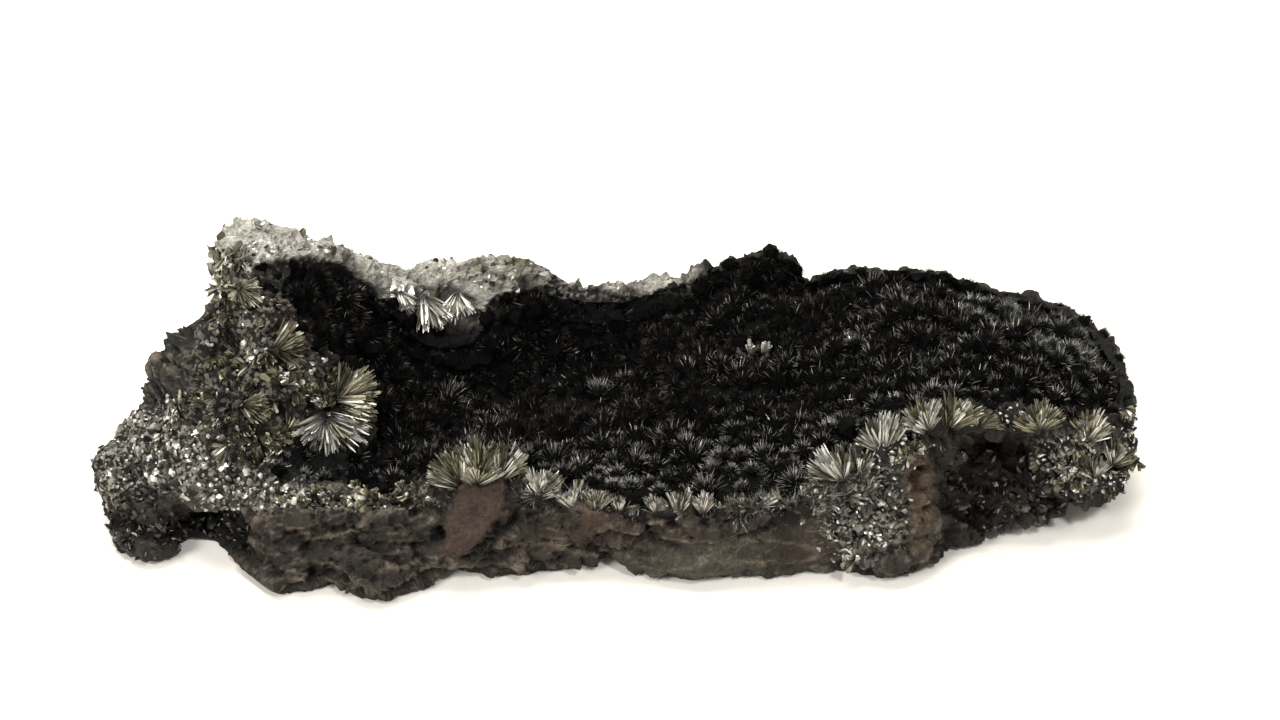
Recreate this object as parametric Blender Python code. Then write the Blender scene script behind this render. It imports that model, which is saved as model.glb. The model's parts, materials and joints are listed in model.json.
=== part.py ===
"""Pyrolusite hand specimen, 137 mm long: a broken slab of brown-black manganese ore, a velvet crust of fine
black crystals in the hollow of its top, and fans of bladed crystals where the crust is broken across.
Metres, +Z up. The stone rests on its worn underside, and the origin is below the middle of its box."""

import math

import bmesh
import bpy
import numpy as np
from mathutils import Matrix, Vector, noise
from mathutils.bvhtree import BVHTree

MM = 0.001

# The stone is drawn over eleven lines that run its length, like the lines of a hull. A point is x, y, z in
# millimetres: x to the right, y away from the front, z up from the surface that the stone rests on.
FOOT = [(-69, -7, 5.6), (-66.7, -10, 5.4), (-65.7, -12, 3.4), (-64.6, -15.8, 0.4), (-62.5, -17.6, 0.1),
        (-59.4, -18, 0), (-56.6, -16.6, 0), (-52.5, -15, 0), (-48.5, -19, 0), (-42.5, -24.8, 0),
        (-40.5, -26, 0), (-35.5, -22.6, 0), (-31.5, -25.8, 0), (-27, -24.8, 0), (-20.5, -19.6, 0),
        (-14, -21.6, 0), (-7, -20, 0), (-0.5, -17, 0), (4, -20.8, 0), (10, -21.4, 0), (16.5, -19.5, 0),
        (20.5, -21, 0), (26, -19.8, 0), (35.5, -22.2, 0), (41.5, -18.4, 0.4), (47, -15.8, 1.2),
        (53, -14.5, 2.6), (61, -13.4, 4.2), (66.5, -11, 4.6), (69, -8, 5.8)]
FRONT = [(-69, -7.4, 6.4), (-66.7, -10.4, 6.4), (-65, -14, 4), (-62, -16.8, 3.6), (-59, -17.6, 4),
         (-52.5, -13.5, 4.5), (-47, -17, 4.5), (-41, -23.6, 5), (-32, -24.2, 6), (-24, -21.8, 6),
         (-17, -21.4, 7), (-8, -20.2, 5.5), (0, -20.6, 6), (10, -22, 6), (18, -21.6, 6), (26, -21, 6.5),
         (33, -20, 9), (37, -19.2, 9.5), (42, -14.5, 9.5), (47, -9, 9), (54, -8.6, 9.5), (60, -10.6, 10),
         (65.5, -10.4, 9.8), (69, -8, 9.8)]
LIP = [(-69, -7.2, 7.4), (-66, -10.6, 7.2), (-62, -13.8, 7.2), (-57, -16, 8), (-49.5, -18.6, 10),
       (-40, -19, 11.5), (-27, -18.8, 12), (-22, -17.5, 13), (-15.5, -16.4, 14), (-10.5, -17.6, 12),
       (-4, -19.2, 11), (11, -20.4, 11), (18.5, -21.2, 11), (23.5, -20.8, 12), (28.5, -17.4, 14.2),
       (31.5, -15, 17), (37.5, -13.4, 19), (43, -13, 19), (49, -13, 17.6), (54.5, -12, 17), (60, -11.6, 16),
       (65, -8.6, 14.8), (69, -5.4, 13.6)]
APRON = [(-69, -6.8, 8), (-66, -8, 9), (-62, -9.4, 11.2), (-57, -11.4, 12.4), (-53, -13, 13),
         (-45, -13.5, 12.6), (-38, -13.4, 10.4), (-33, -13.4, 9.8), (-25, -13, 11.4), (-18, -11.6, 13),
         (-10, -11, 12), (0, -13, 11.4), (10, -14, 12.4), (20, -14, 13), (28, -11, 15.2), (36, -8, 19.4),
         (44, -8, 20), (52, -8, 19), (60, -7, 17.6), (65, -4.4, 15.9), (69, -2.6, 14.4)]
FLOOR = [(-69, -6.2, 8.2), (-66, -5.6, 9.6), (-62.4, -4.6, 12.4), (-57, -5.4, 16), (-51, -5, 20.6),
         (-45, -6, 21.4), (-40, -6.6, 19.6), (-36, -6.8, 17), (-31, -4, 13.6), (-26, -3, 10.8),
         (-18, -2, 10.6), (-10, -2, 9.6), (0, -3, 11), (10, -4, 13.4), (20, -3, 15), (30, -2, 17.4),
         (40, 0, 20.4), (50, 1, 20.4), (60, 1, 18.6), (65, 1.2, 16.6), (69, 0.4, 14)]
SLOPE = [(-69, -5.6, 8), (-66, -4, 9.2), (-64, -2.4, 11.2), (-62, -0.4, 13.6), (-60, 1.6, 15.6),
         (-58, 3, 17.6), (-55.4, 3.4, 19.6), (-53.6, 2.2, 25.2), (-51.6, 1.6, 28), (-47, 1, 28.6),
         (-41, 0.6, 27.4), (-36, 2.6, 24), (-31, 6, 18), (-26, 7, 12.4), (-18, 8, 9.2), (-10, 9, 8.2),
         (0, 8, 10.2), (10, 7, 14), (20, 9, 17), (30, 10, 18.6), (40, 11, 20.4), (50, 10.4, 20),
         (60, 8.4, 18.6), (65, 6, 16.8), (69, 2.6, 14)]
SHOULDER = [(-69, -5, 7.6), (-66, -2.4, 8.8), (-64, -0.6, 10.8), (-62, 2.4, 13.8), (-60, 5, 15.2),
            (-58, 7, 17.8), (-55.3, 7.4, 19.2), (-53.5, 6, 28.6), (-52, 6.6, 30.6), (-46.4, 8.8, 32.6),
            (-41, 8.4, 30.6), (-36, 9.4, 27), (-31, 11.4, 21.6), (-26, 14, 17), (-20, 16, 15.6),
            (-14, 17, 15.6), (-8, 17, 14), (0, 17, 13.4), (8, 16.6, 15.4), (16, 18, 18.8), (21, 18.8, 20.2),
            (26, 17.6, 18.8), (40, 17.4, 19), (48, 16, 18.8), (56, 13.4, 18), (62, 10.6, 17.2),
            (66, 7.4, 16), (69, 5, 14.8)]
RIM = [(-69, -4.4, 6.6), (-66.3, -1, 7.9), (-64.2, 1, 9.6), (-62, 4, 12.8), (-60, 7, 14.2),
       (-58, 9.4, 17.4), (-55.4, 10.2, 18.6), (-53.4, 8.4, 28.6), (-52, 9.4, 30.8), (-46.4, 12.4, 32.6),
       (-41, 13.6, 29.4), (-36, 15.4, 26.6), (-29, 18, 22), (-20, 20, 21), (-16, 21, 21.2), (-10, 22, 20),
       (-6, 22, 17.6), (0.5, 22.4, 16.4), (6, 22.4, 16.4), (12, 22.4, 18.4), (16.5, 22.4, 20.2),
       (20.5, 22.4, 20.8), (24.5, 22.4, 20.2), (27.6, 22.4, 17.8), (39, 22.4, 18), (47, 21, 17.8),
       (53, 19, 16.8), (58.5, 17, 16.2), (62.5, 13.6, 16.4), (66, 9.4, 15.8), (69, 6.4, 14.2)]
BACK = [(-69, -4.4, 5.8), (-66, -0.8, 6.2), (-62, 5, 7), (-60, 8.5, 7.6), (-57, 11, 10), (-53, 14, 15),
        (-46, 17, 16), (-36, 19.6, 13), (-24, 23, 11), (-10, 25.4, 10), (0, 24.6, 8), (10, 25.6, 9),
        (22, 26, 11), (35, 25, 9), (47, 23.4, 10), (58, 19, 10), (65, 11.6, 10), (69, 6.6, 10)]
HEEL = [(-69, -5, 4.8), (-66, -2.4, 3.4), (-62, 3, 1.6), (-57, 8, 0.2), (-53, 11, 0), (-46, 13, 0),
        (-36, 16, 0), (-24, 19.4, 0), (-10, 22, 0), (0, 21, 0), (10, 22.4, 0), (22, 22, 0), (35, 21, 0),
        (47, 17.6, 1), (58, 13, 3.4), (65, 8, 6), (69, 4, 7.6)]
UNDER = [(-69, -5.8, 4.8), (-66, -6, 3.4), (-63.6, -6, 0), (-40, -3, -0.8), (0, 1, -0.8), (40, 0, -0.8),
         (48, 1, 0.8), (58, 0.6, 3.2), (65, -0.6, 5.6), (69, 0, 7)]

# A section's lines in order round it, each with how many points the surface has from it to the next line.
MATRIX_SECTION = [(FOOT, 2), (FRONT, 2), (LIP, 2), (APRON, 3), (FLOOR, 3), (SLOPE, 3), (SHOULDER, 2),
                  (RIM, 2), (BACK, 2), (HEEL, 2), (UNDER, 2)]
MATRIX_STATIONS = np.concatenate([np.linspace(-67.8, -46.0, 12), np.linspace(-42.8, 67.8, 32)])
END_BULGE = 0.6

# The bed that the crust lies on has the stone's top, and sides that run well clear of the stone.
BED_FRONT = [(-69, -45, -10), (69, -45, -10)]
BED_BACK = [(-69, 45, -10), (69, 45, -10)]
BED_SECTION = [(BED_FRONT, 1), (LIP, 1), (APRON, 2), (FLOOR, 2), (SLOPE, 2), (SHOULDER, 1), (RIM, 1),
               (BED_BACK, 1)]
BED_STATIONS = np.linspace(-67.8, 67.8, 22)

# The crust's own surface is the stone's, with enough points for its tufts.
CRUST_SECTION = [(FOOT, 1), (FRONT, 1), (LIP, 2), (APRON, 4), (FLOOR, 5), (SLOPE, 5), (SHOULDER, 3), (RIM, 1),
                 (BACK, 1), (HEEL, 1), (UNDER, 1)]
CRUST_STATIONS = np.linspace(-67.8, 67.8, 70)

# Forms too small for the lines: a place, how far it reaches each way, and the push at its middle, all in mm.
PUSHES = [
    ((-17.5, -20.5, 8.5), (4.6, 4.0, 5.0), (0.0, -1.8, 0.6)),    # the smooth brown lump under the left fans
    ((-52.0, -15.0, 4.0), (6.0, 5.0, 4.0), (0.5, 2.6, 0.8)),     # the cave below the left lobe
    ((-36.0, -23.0, 5.0), (3.6, 3.6, 4.5), (0.0, 1.5, 0.0)),     # the gap between the two front feet
    ((0.0, -18.0, 1.0), (3.2, 4.0, 2.5), (0.0, 2.0, 1.0)),       # the nick in the front's lower edge
    ((21.0, -21.0, 7.0), (5.0, 3.0, 2.6), (0.0, 1.9, 0.0)),      # the arched hollow right of the middle
    ((11.0, -21.5, 3.5), (9.0, 3.0, 2.6), (0.0, -0.9, 0.0)),     # the smooth swell at the middle
    ((33.0, -18.5, 12.0), (2.6, 3.0, 2.6), (0.2, 1.4, -0.2)),    # the pit in the buttress
    ((49.5, -10.5, 9.5), (5.5, 4.5, 5.0), (0.0, 2.6, 0.4)),      # the dark recess right of the buttress
    ((26.8, 22.5, 19.5), (1.3, 4.0, 3.0), (0.0, 0.0, -2.2)),     # the notch beside the hump
    ((20.5, 21.0, 22.0), (4.0, 4.0, 3.0), (0.0, 0.0, 1.0)),      # the hump on the back rim
    ((39.0, 21.0, 18.0), (2.6, 3.0, 3.0), (0.0, 0.0, 0.8)),      # the knob on the back rim
    ((-14.0, 20.5, 20.0), (5.0, 3.0, 3.0), (0.0, 0.0, 0.9)),     # the crumbled knob on the pale rim
    ((-5.0, 23.0, 12.0), (4.5, 4.0, 5.0), (0.0, -2.4, 0.0)),     # a broken hollow in the back
    ((30.0, 24.0, 5.0), (7.0, 3.0, 3.0), (0.0, -2.6, 0.5)),      # a second one, low at the right
    ((-30.0, 21.0, 7.0), (6.0, 3.0, 3.0), (0.0, -1.8, 0.0)),     # a third one, low at the left
    ((-10.0, 0.0, 0.0), (9.0, 7.0, 3.0), (0.0, 0.0, 1.9)),       # hollows in the underside
    ((22.0, -7.0, 0.0), (8.0, 6.0, 3.0), (0.0, 0.0, 1.7)),
    ((-45.0, -8.0, 0.0), (7.0, 6.0, 3.0), (0.0, 0.0, 1.8)),
]
COARSE = (9.0, 1.1)     # wave length and height of the broken stone's own relief
FINE = (3.6, 0.55)
TUFT = (4.8, 1.5)       # spacing and height of the velvet's rounded tufts
WORN_BELOW = 0.35       # what is lower than this is worn flat

# The velvet crust's edge in plan, x and y in mm, and its thickness.
CRUST_OUTLINE = [(-33.6, -12.6), (-32.6, -15.6), (-29, -16.4), (-24.5, -15.4), (-20.5, -12), (-13, -12.2),
                 (-9, -15.6), (-3, -18), (5, -19), (12, -19.2), (19, -19.8), (23.5, -18.8), (27, -14.6),
                 (31, -11.2), (36, -9.6), (43, -9.8), (48, -9.6), (53, -8.6), (60, -8.4), (63.5, -6),
                 (65.5, -1), (65, 4.4), (62.4, 8.8), (58.5, 12.6), (54, 15.4), (47, 18), (40, 19.4),
                 (30, 20.2), (21, 20.6), (12, 20), (6, 18.8), (0, 18.2), (-6, 18.2), (-11, 17.8),
                 (-15.5, 15.6), (-18.5, 12.2), (-23, 10.4), (-27, 10.2), (-31, 10.4), (-36, 9.6),
                 (-40, 7.2), (-42, 2.6), (-40, 0), (-35.4, -0.8), (-31, -3), (-30, -8)]
CRUST_THICK = 2.4
BLOCK_HEIGHTS = (1.0, 48.0)     # the crust is cut out between these, well below and above it
GAP = 0.3               # between pieces that touch

# The bladed fans: the middle of each one, the length of its blades, the heading of the middle blade as the
# front sees it (0 right, 90 up), and how far the blades spread. Fans that grew together make one spray.
SPRAYS = {
    "rosette_spray": [((-36.0, -10.4, 17.4), 6.0, -85, 150), ((-33.4, -8.6, 17.4), 5.4, -20, 80),
                      ((-35.0, -7.2, 18.6), 6.2, 32, 84)],
    "wall_spray": [((-43.6, -4.0, 23.4), 4.8, 8, 96)],
    "wall_low_spray": [((-47.6, -9.0, 18.4), 4.4, -10, 80)],
    "wall_high_spray": [((-48.0, 2.0, 28.2), 3.8, -25, 100)],
    "rim_spray": [((-24.2, 13.6, 19.2), 4.6, -62, 84), ((-20.4, 15.4, 19.0), 4.4, -88, 84)],
    "front_left_spray": [((-19.0, -17.6, 11.6), 5.2, 108, 110), ((-14.4, -16.8, 12.4), 4.4, 66, 84)],
    "front_middle_spray": [((-9.4, -18.2, 10.6), 4.4, 72, 100)],
    "ledge_left_spray": [((-3.6, -19.4, 10.0), 3.4, 96, 110), ((0.2, -19.8, 10.0), 3.4, 84, 110)],
    "ledge_right_spray": [((6.4, -20.4, 10.0), 3.4, 94, 120), ((10.6, -20.6, 10.0), 3.4, 84, 120)],
    "buttress_low_spray": [((29.2, -17.6, 12.6), 5.2, 128, 130)],
    "buttress_middle_spray": [((34.0, -15.6, 16.0), 4.2, 104, 90)],
    "buttress_high_spray": [((39.8, -13.6, 17.8), 5.0, 118, 104), ((42.8, -13.2, 17.8), 5.0, 66, 104)],
    "right_spray": [((53.4, -12.4, 16.2), 4.2, 92, 130)],
    "right_end_spray": [((60.6, -11.6, 14.4), 3.8, 84, 100)],
}
FRONT_VIEW = Vector((0.0, -0.81, 0.59))     # the way that the fans' broken faces look
BLADE_STEP = 24.0                           # degrees from one blade's ridge to the next
FAN_SWELL = 0.30                            # a fan's half thickness as a share of its blades' length
FAN_STAND = 0.12                            # how far a fan stands out of the stone, as a share of its length
ROOT_THICK = 0.2                            # half thickness of the root that two fans share, as such a share


def on_line(line, stations):
    """The line's y and z at each station, on a curve that never overshoots its points."""
    points = np.array(line, float)
    x = points[:, 0]
    steps = np.diff(x)
    out = []
    for values in (points[:, 1], points[:, 2]):
        slopes = np.diff(values) / steps
        tangents = np.concatenate([[slopes[0]], np.zeros(len(x) - 2), [slopes[-1]]])
        same_way = slopes[:-1] * slopes[1:] > 0
        mean = 2 * slopes[:-1] * slopes[1:] / np.where(same_way, slopes[:-1] + slopes[1:], 1)
        tangents[1:-1] = np.where(same_way, mean, 0)
        left = np.clip(np.searchsorted(x, stations, side="right") - 1, 0, len(steps) - 1)
        t = (stations - x[left]) / steps[left]
        t2, t3 = t * t, t * t * t
        out.append((2 * t3 - 3 * t2 + 1) * values[left] + (t3 - 2 * t2 + t) * steps[left] * tangents[left]
                   + (3 * t2 - 2 * t3) * values[left + 1] + (t3 - t2) * steps[left] * tangents[left + 1])
    return np.stack(out, axis=1)


def between(before, start, end, after, t):
    """A point on the smooth curve from start to end."""
    return 0.5 * (2 * start + (end - before) * t + (2 * before - 5 * start + 4 * end - after) * t * t
                  + (3 * start - before - 3 * end + after) * t ** 3)


def mesh_object(name, bm):
    """An object of flat triangles, so that a piece and what it is cut with have exactly the same faces."""
    bmesh.ops.triangulate(bm, faces=bm.faces)
    mesh = bpy.data.meshes.new(name)
    bm.to_mesh(mesh)
    bm.free()
    made = bpy.data.objects.new(name, mesh)
    bpy.context.scene.collection.objects.link(made)
    return made


def loft(rings, start=None, end=None):
    """A closed solid through rings of points, with its ends closed on a point or, with none, a flat face."""
    bm = bmesh.new()
    rows = [[bm.verts.new(p) for p in ring] for ring in rings]
    around = len(rows[0])
    for row, following in zip(rows, rows[1:]):
        for i in range(around):
            j = (i + 1) % around
            bm.faces.new((row[i], row[j], following[j], following[i]))
    for row, tip in ((rows[0], start), (rows[-1], end)):
        if tip is None:
            bm.faces.new(row)
            continue
        middle = bm.verts.new(tip)
        for i in range(around):
            bm.faces.new((row[i], row[(i + 1) % around], middle))
    bmesh.ops.recalc_face_normals(bm, faces=bm.faces)
    return bm


def hull(section, stations):
    """A smooth closed form in mm, through sections across its lines."""
    lines = [on_line(line, stations) for line, _ in section]
    rings = []
    for i, x in enumerate(stations):
        corners = [Vector((x, *line[i])) for line in lines]
        ring = []
        for k, (_, count) in enumerate(section):
            around = [corners[(k + step) % len(corners)] for step in (-1, 0, 1, 2)]
            ring += [between(*around, j / count) for j in range(count)]
        rings.append(ring)
    tips = []
    for ring, way in ((rings[0], -1), (rings[-1], 1)):
        tips.append(sum(ring, Vector()) / len(ring) + Vector((way * END_BULGE, 0, 0)))
    return loft(rings, *tips)


def in_outline(x, y, outline):
    """How far inside the outline a point is, in mm, and below zero outside it."""
    inside = False
    nearest = math.inf
    here = Vector((x, y))
    for a, b in zip(outline, outline[1:] + outline[:1]):
        a, b = Vector(a), Vector(b)
        along = max(0.0, min(1.0, (here - a).dot(b - a) / (b - a).length_squared))
        nearest = min(nearest, (here - a.lerp(b, along)).length)
        if (a.y > y) != (b.y > y) and x < a.x + (y - a.y) * (b.x - a.x) / (b.y - a.y):
            inside = not inside
    return nearest if inside else -nearest


def relief(point):
    """Height of the stone's own broken relief at a point, in mm."""
    total = 0.0
    for length, height in (COARSE, FINE):
        total += height * noise.noise(point / length)
    return total


def tufts(point):
    """Height of the velvet's rounded tufts at a point, in mm."""
    spacing, height = TUFT
    nearest = noise.voronoi(point / spacing)[0][0]
    return height * (0.6 - min(1.0, nearest) ** 2 * 1.6)


def roughen(bm):
    """Gives the form its named forms, its relief and the velvet's tufts, and wears its underside flat."""
    bm.normal_update()
    moves = []
    for vert in bm.verts:
        here = vert.co
        move = Vector()
        for middle, reach, push in PUSHES:
            away = sum(((here[k] - middle[k]) / reach[k]) ** 2 for k in range(3))
            move += Vector(push) * math.exp(-away)
        move += vert.normal * relief(here)
        if vert.normal.z > 0.2:
            inside = max(0.0, min(1.0, in_outline(here.x, here.y, CRUST_OUTLINE) / 2))
            move += vert.normal * tufts(here) * inside
        moves.append(move)
    for vert, move in zip(bm.verts, moves):
        vert.co += move
        if vert.co.z < WORN_BELOW:
            vert.co.z = 0.0


def to_metres(bm):
    bmesh.ops.scale(bm, vec=(MM, MM, MM), verts=bm.verts)
    return bm


def crust_block(name, grow, drop):
    """What the crust is cut from the stone with: the outline's block, less the bed that the crust lies on."""
    low, high = BLOCK_HEIGHTS
    outline = []
    for i, here in enumerate(CRUST_OUTLINE):
        before, after = Vector(CRUST_OUTLINE[i - 1]), Vector(CRUST_OUTLINE[(i + 1) % len(CRUST_OUTLINE)])
        along = (after - before).normalized()
        outline.append(Vector(here) + Vector((along.y, -along.x)) * grow)
    rings = [[Vector((p.x, p.y, z)) for p in outline] for z in (low, high)]
    block = mesh_object(name, to_metres(loft(rings)))
    bed = mesh_object(name + "_bed", to_metres(hull(BED_SECTION, BED_STATIONS)))
    bed.location.z = -(CRUST_THICK + drop) * MM
    cut(block, bed)
    hide(bed)
    hide(block)
    return block


def hide(cutter):
    cutter.hide_render = True
    cutter.display_type = "WIRE"


def cut(piece, by, operation="DIFFERENCE"):
    modifier = piece.modifiers.new(by.name, "BOOLEAN")
    modifier.operation = operation
    modifier.solver = "EXACT"
    modifier.object = by


def fan(name, spot, length, heading, spread, grow=0.0):
    """One fan of blades, each with a ridge along it and a pointed end; grown, it is the fan's pocket."""
    place, turn = spot
    heading, spread = math.radians(heading), math.radians(spread)
    blades = max(3, round(math.degrees(spread) / BLADE_STEP))
    steps = 2 * blades if not grow else blades // 2 + 2
    margin = grow / length
    spread += 2 * margin
    rings = []
    for i in range(steps + 1):
        ridge = 1.0 if grow or i % 2 else 0.0
        wave = 0.0 if grow else noise.noise(Vector((i * 1.7, length, heading)))
        angle = heading + spread * (i / steps - 0.5)
        tip = length * (0.80 + 0.14 * ridge + 0.06 * wave) + grow
        swell = length * FAN_SWELL * (0.72 + 0.28 * ridge) + grow
        edge = length * 0.05 * (1 + ridge) + grow
        root = max(0.12 * length - grow, 0.05 * length)
        profile = [(root, swell * 0.7), (0.5 * length, swell), (tip, edge), (tip, -edge),
                   (0.5 * length, -swell * 0.9), (root, -swell * 0.7)]
        out = Vector((math.cos(angle), math.sin(angle), 0))
        rings.append([place + turn @ (out * r + Vector((0, 0, h))) for r, h in profile])
    return mesh_object(name, to_metres(loft(rings)))


def shared_root(name, start, end, thick, grow=0.0):
    """The lump of crystal between the middles of two fans that grew together."""
    along = end - start
    bm = bmesh.new()
    bmesh.ops.create_icosphere(bm, subdivisions=1, radius=1.0)
    bmesh.ops.scale(bm, vec=(thick + grow, thick + grow, along.length / 2 + thick + grow), verts=bm.verts)
    bmesh.ops.transform(bm, matrix=along.to_track_quat("Z", "Y").to_matrix().to_4x4(), verts=bm.verts)
    bmesh.ops.translate(bm, vec=(start + end) / 2, verts=bm.verts)
    return mesh_object(name, to_metres(bm))


def seat(surface, middle, length):
    """Where a fan sits: on the stone nearest to its middle, its broken face between the stone's own way and
    the front's. Its right and up are the front's, so a heading means what the front sees."""
    on_stone, normal, _, _ = surface.find_nearest(Vector(middle))
    face = (normal + FRONT_VIEW).normalized()
    right = (Vector((1, 0, 0)) - face * face.x).normalized()
    turn = Matrix((right, face.cross(right), face)).transposed()
    return on_stone + face * length * FAN_STAND, turn


def material(name, colour, roughness, metallic):
    made = bpy.data.materials.new(name)
    made.use_nodes = True
    shader = made.node_tree.nodes["Principled BSDF"]
    shader.inputs["Base Color"].default_value = (*colour, 1.0)
    shader.inputs["Roughness"].default_value = roughness
    shader.inputs["Metallic"].default_value = metallic
    made.diffuse_color = (*colour, 1.0)
    return made


def centre(pieces):
    """Moves everything so that the middle of the pieces' common box is above the origin."""
    evaluated = bpy.context.evaluated_depsgraph_get()
    corners = np.array([corner[:] for piece in pieces for corner in piece.evaluated_get(evaluated).bound_box])
    middle = (corners.min(axis=0) + corners.max(axis=0)) / 2
    for thing in bpy.data.objects:
        thing.location -= Vector((middle[0], middle[1], 0))


def main():
    for old in list(bpy.data.objects):
        bpy.data.objects.remove(old, do_unlink=True)

    ore = material("manganese ore", (0.055, 0.047, 0.040), 0.75, 0.0)
    velvet = material("velvet of fine pyrolusite needles", (0.012, 0.012, 0.013), 0.60, 0.3)
    blades = material("steel-grey pyrolusite blades", (0.36, 0.35, 0.29), 0.35, 0.8)

    stone = hull(MATRIX_SECTION, MATRIX_STATIONS)
    roughen(stone)
    surface = BVHTree.FromBMesh(stone)
    matrix = mesh_object("matrix", to_metres(stone))
    tufted = hull(CRUST_SECTION, CRUST_STATIONS)
    roughen(tufted)
    crust = mesh_object("velvet_crust", to_metres(tufted))
    matrix.data.materials.append(ore)
    crust.data.materials.append(velvet)

    cut(matrix, crust_block("crust_seat", GAP, GAP))
    cut(crust, crust_block("crust_block", 0.0, 0.0), "INTERSECT")

    pieces = [matrix, crust]
    for name, fans in SPRAYS.items():
        spots = [seat(surface, middle, length) for middle, length, _, _ in fans]
        grown_together = []
        pockets = []
        for k, (spot, (_, length, heading, spread)) in enumerate(zip(spots, fans)):
            grown_together.append(fan(f"{name}_{k}" if k else name, spot, length, heading, spread))
            pockets.append(fan(f"{name}_pocket_{k}", spot, length, heading, spread, GAP))
        for k, (spot, following) in enumerate(zip(spots, spots[1:])):
            thick = ROOT_THICK * fans[k][1]
            grown_together.append(shared_root(f"{name}_root_{k}", spot[0], following[0], thick))
            pockets.append(shared_root(f"{name}_root_pocket_{k}", spot[0], following[0], thick, GAP))
        for pocket in pockets:
            hide(pocket)
            cut(matrix, pocket)
            cut(crust, pocket)
        spray = grown_together[0]
        for other in grown_together[1:]:
            hide(other)
            cut(spray, other, "UNION")
        spray.data.materials.append(blades)
        pieces.append(spray)

    centre(pieces)


main()
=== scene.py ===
"""Looks of the pyrolusite specimen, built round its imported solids. In metres, +Z up, the hollow on top."""

import json
import math

import bmesh
import bpy
import numpy as np
from mathutils import Matrix, Vector, noise
from mathutils.bvhtree import BVHTree

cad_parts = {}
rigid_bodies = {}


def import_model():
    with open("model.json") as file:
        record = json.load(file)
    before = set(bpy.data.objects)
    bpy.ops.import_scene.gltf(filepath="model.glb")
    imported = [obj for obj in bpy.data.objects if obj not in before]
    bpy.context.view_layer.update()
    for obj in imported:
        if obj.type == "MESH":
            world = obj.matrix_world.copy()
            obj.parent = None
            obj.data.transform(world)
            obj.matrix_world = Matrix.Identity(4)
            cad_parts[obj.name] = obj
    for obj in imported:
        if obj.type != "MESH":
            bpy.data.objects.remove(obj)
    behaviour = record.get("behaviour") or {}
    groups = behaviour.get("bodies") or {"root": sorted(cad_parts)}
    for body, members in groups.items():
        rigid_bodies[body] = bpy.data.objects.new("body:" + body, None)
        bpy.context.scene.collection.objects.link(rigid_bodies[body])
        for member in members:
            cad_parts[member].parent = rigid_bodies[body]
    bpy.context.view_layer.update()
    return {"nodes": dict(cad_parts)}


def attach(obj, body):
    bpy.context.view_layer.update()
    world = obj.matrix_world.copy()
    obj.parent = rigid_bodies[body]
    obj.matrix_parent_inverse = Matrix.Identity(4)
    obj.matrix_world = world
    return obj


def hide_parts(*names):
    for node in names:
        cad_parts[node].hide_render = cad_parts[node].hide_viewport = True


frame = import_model()


# The ore is a slab of massive manganese oxides, dull to earthy, broken off its vein by hand. It carries
# everything else: a granular lobe at the left, a crumbly rim that is pale in its own colour and painted paler
# still as painted light from above, smooth rounded lumps and rusty streaks on its broken front.
MM = 0.001
ORE_VOXEL = 0.47 * MM
# Regions of the ore: the middle of each, and how far it reaches each way, in mm.
LOBE_BACK = ((-64.0, -5.0, 10.0), (5.0, 5.0, 4.0))
WALL = ((-48.0, -3.0, 23.5), (8.5, 9.5, 10.5))
WALL_BROWN = ((-41.5, -1.0, 27.5), (4.5, 6.0, 4.5))     # crumbly brown ore between the wall's crystals
WALL_PIT = ((-50.4, -3.0, 24.0), (1.5, 3.0, 1.6))
PALE_RIM = [((-42.0, 13.5, 31.0), (9.0, 6.0, 4.5)), ((-32.0, 16.5, 23.5), (9.0, 5.0, 4.5)),
            ((-21.0, 19.5, 19.0), (9.0, 5.5, 5.0)), ((-8.0, 22.0, 17.5), (9.0, 3.0, 3.5)),
            ((3.0, 22.0, 17.0), (8.0, 2.6, 3.0))]
BROWN_SPOT = ((-2.4, -20.2, 9.2), (3.4, 2.4, 1.6))
BROWN_STREAK = ((38.6, -17.0, 9.5), (2.0, 5.0, 8.0))
BROWN_BAND = ((3.0, -20.8, 6.4), (17.0, 3.0, 3.4))
OLIVE_SWELL = ((12.0, -22.0, 4.0), (11.5, 3.4, 3.0))
SLOPE_LUMP = ((23.4, -20.6, 4.6), (5.0, 3.0, 3.4))
RECESS = ((48.6, -10.6, 6.4), (8.0, 5.0, 6.0))
CAVE = ((-52.0, -14.0, 3.6), (7.0, 5.0, 3.4))
BUTTRESS = ((31.0, -18.6, 9.0), (5.6, 4.0, 7.5))
BUTTRESS_TOP = ((35.3, -14.5, 16.9), (5.0, 3.5, 2.6))
RECESS_TOP = ((48.0, -11.0, 18.3), (5.5, 2.5, 2.0))
RIGHT_GRAINS = ((59.5, -10.6, 11.0), (6.6, 3.4, 5.0))
FRONT_BAND = ((-32.0, -17.6, 12.0), (17.0, 3.4, 2.8))
RIM_KNOB = ((-15.5, 20.0, 20.5), (5.0, 5.0, 3.0))
LOBE_FOOT = ((-57.5, -14.0, 3.8), (10.0, 5.0, 3.8))
LOBE_TOE = ((-62.0, -16.0, 1.5), (4.0, 3.0, 2.6))
UNDER_ROSETTE = ((-37.5, -12.0, 11.8), (5.5, 4.5, 2.4))
RIGHT_END = ((67.5, -4.0, 8.0), (4.5, 9.0, 8.0))
REAR_LEFT = ((-58.6, 5.0, 15.5), (5.5, 7.5, 5.6))
REAR_NOTCH = ((-56.0, 3.0, 24.0), (1.6, 9.0, 4.2))
WALL_TOP = ((-48.5, 8.0, 32.0), (7.5, 6.5, 3.6))


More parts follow.
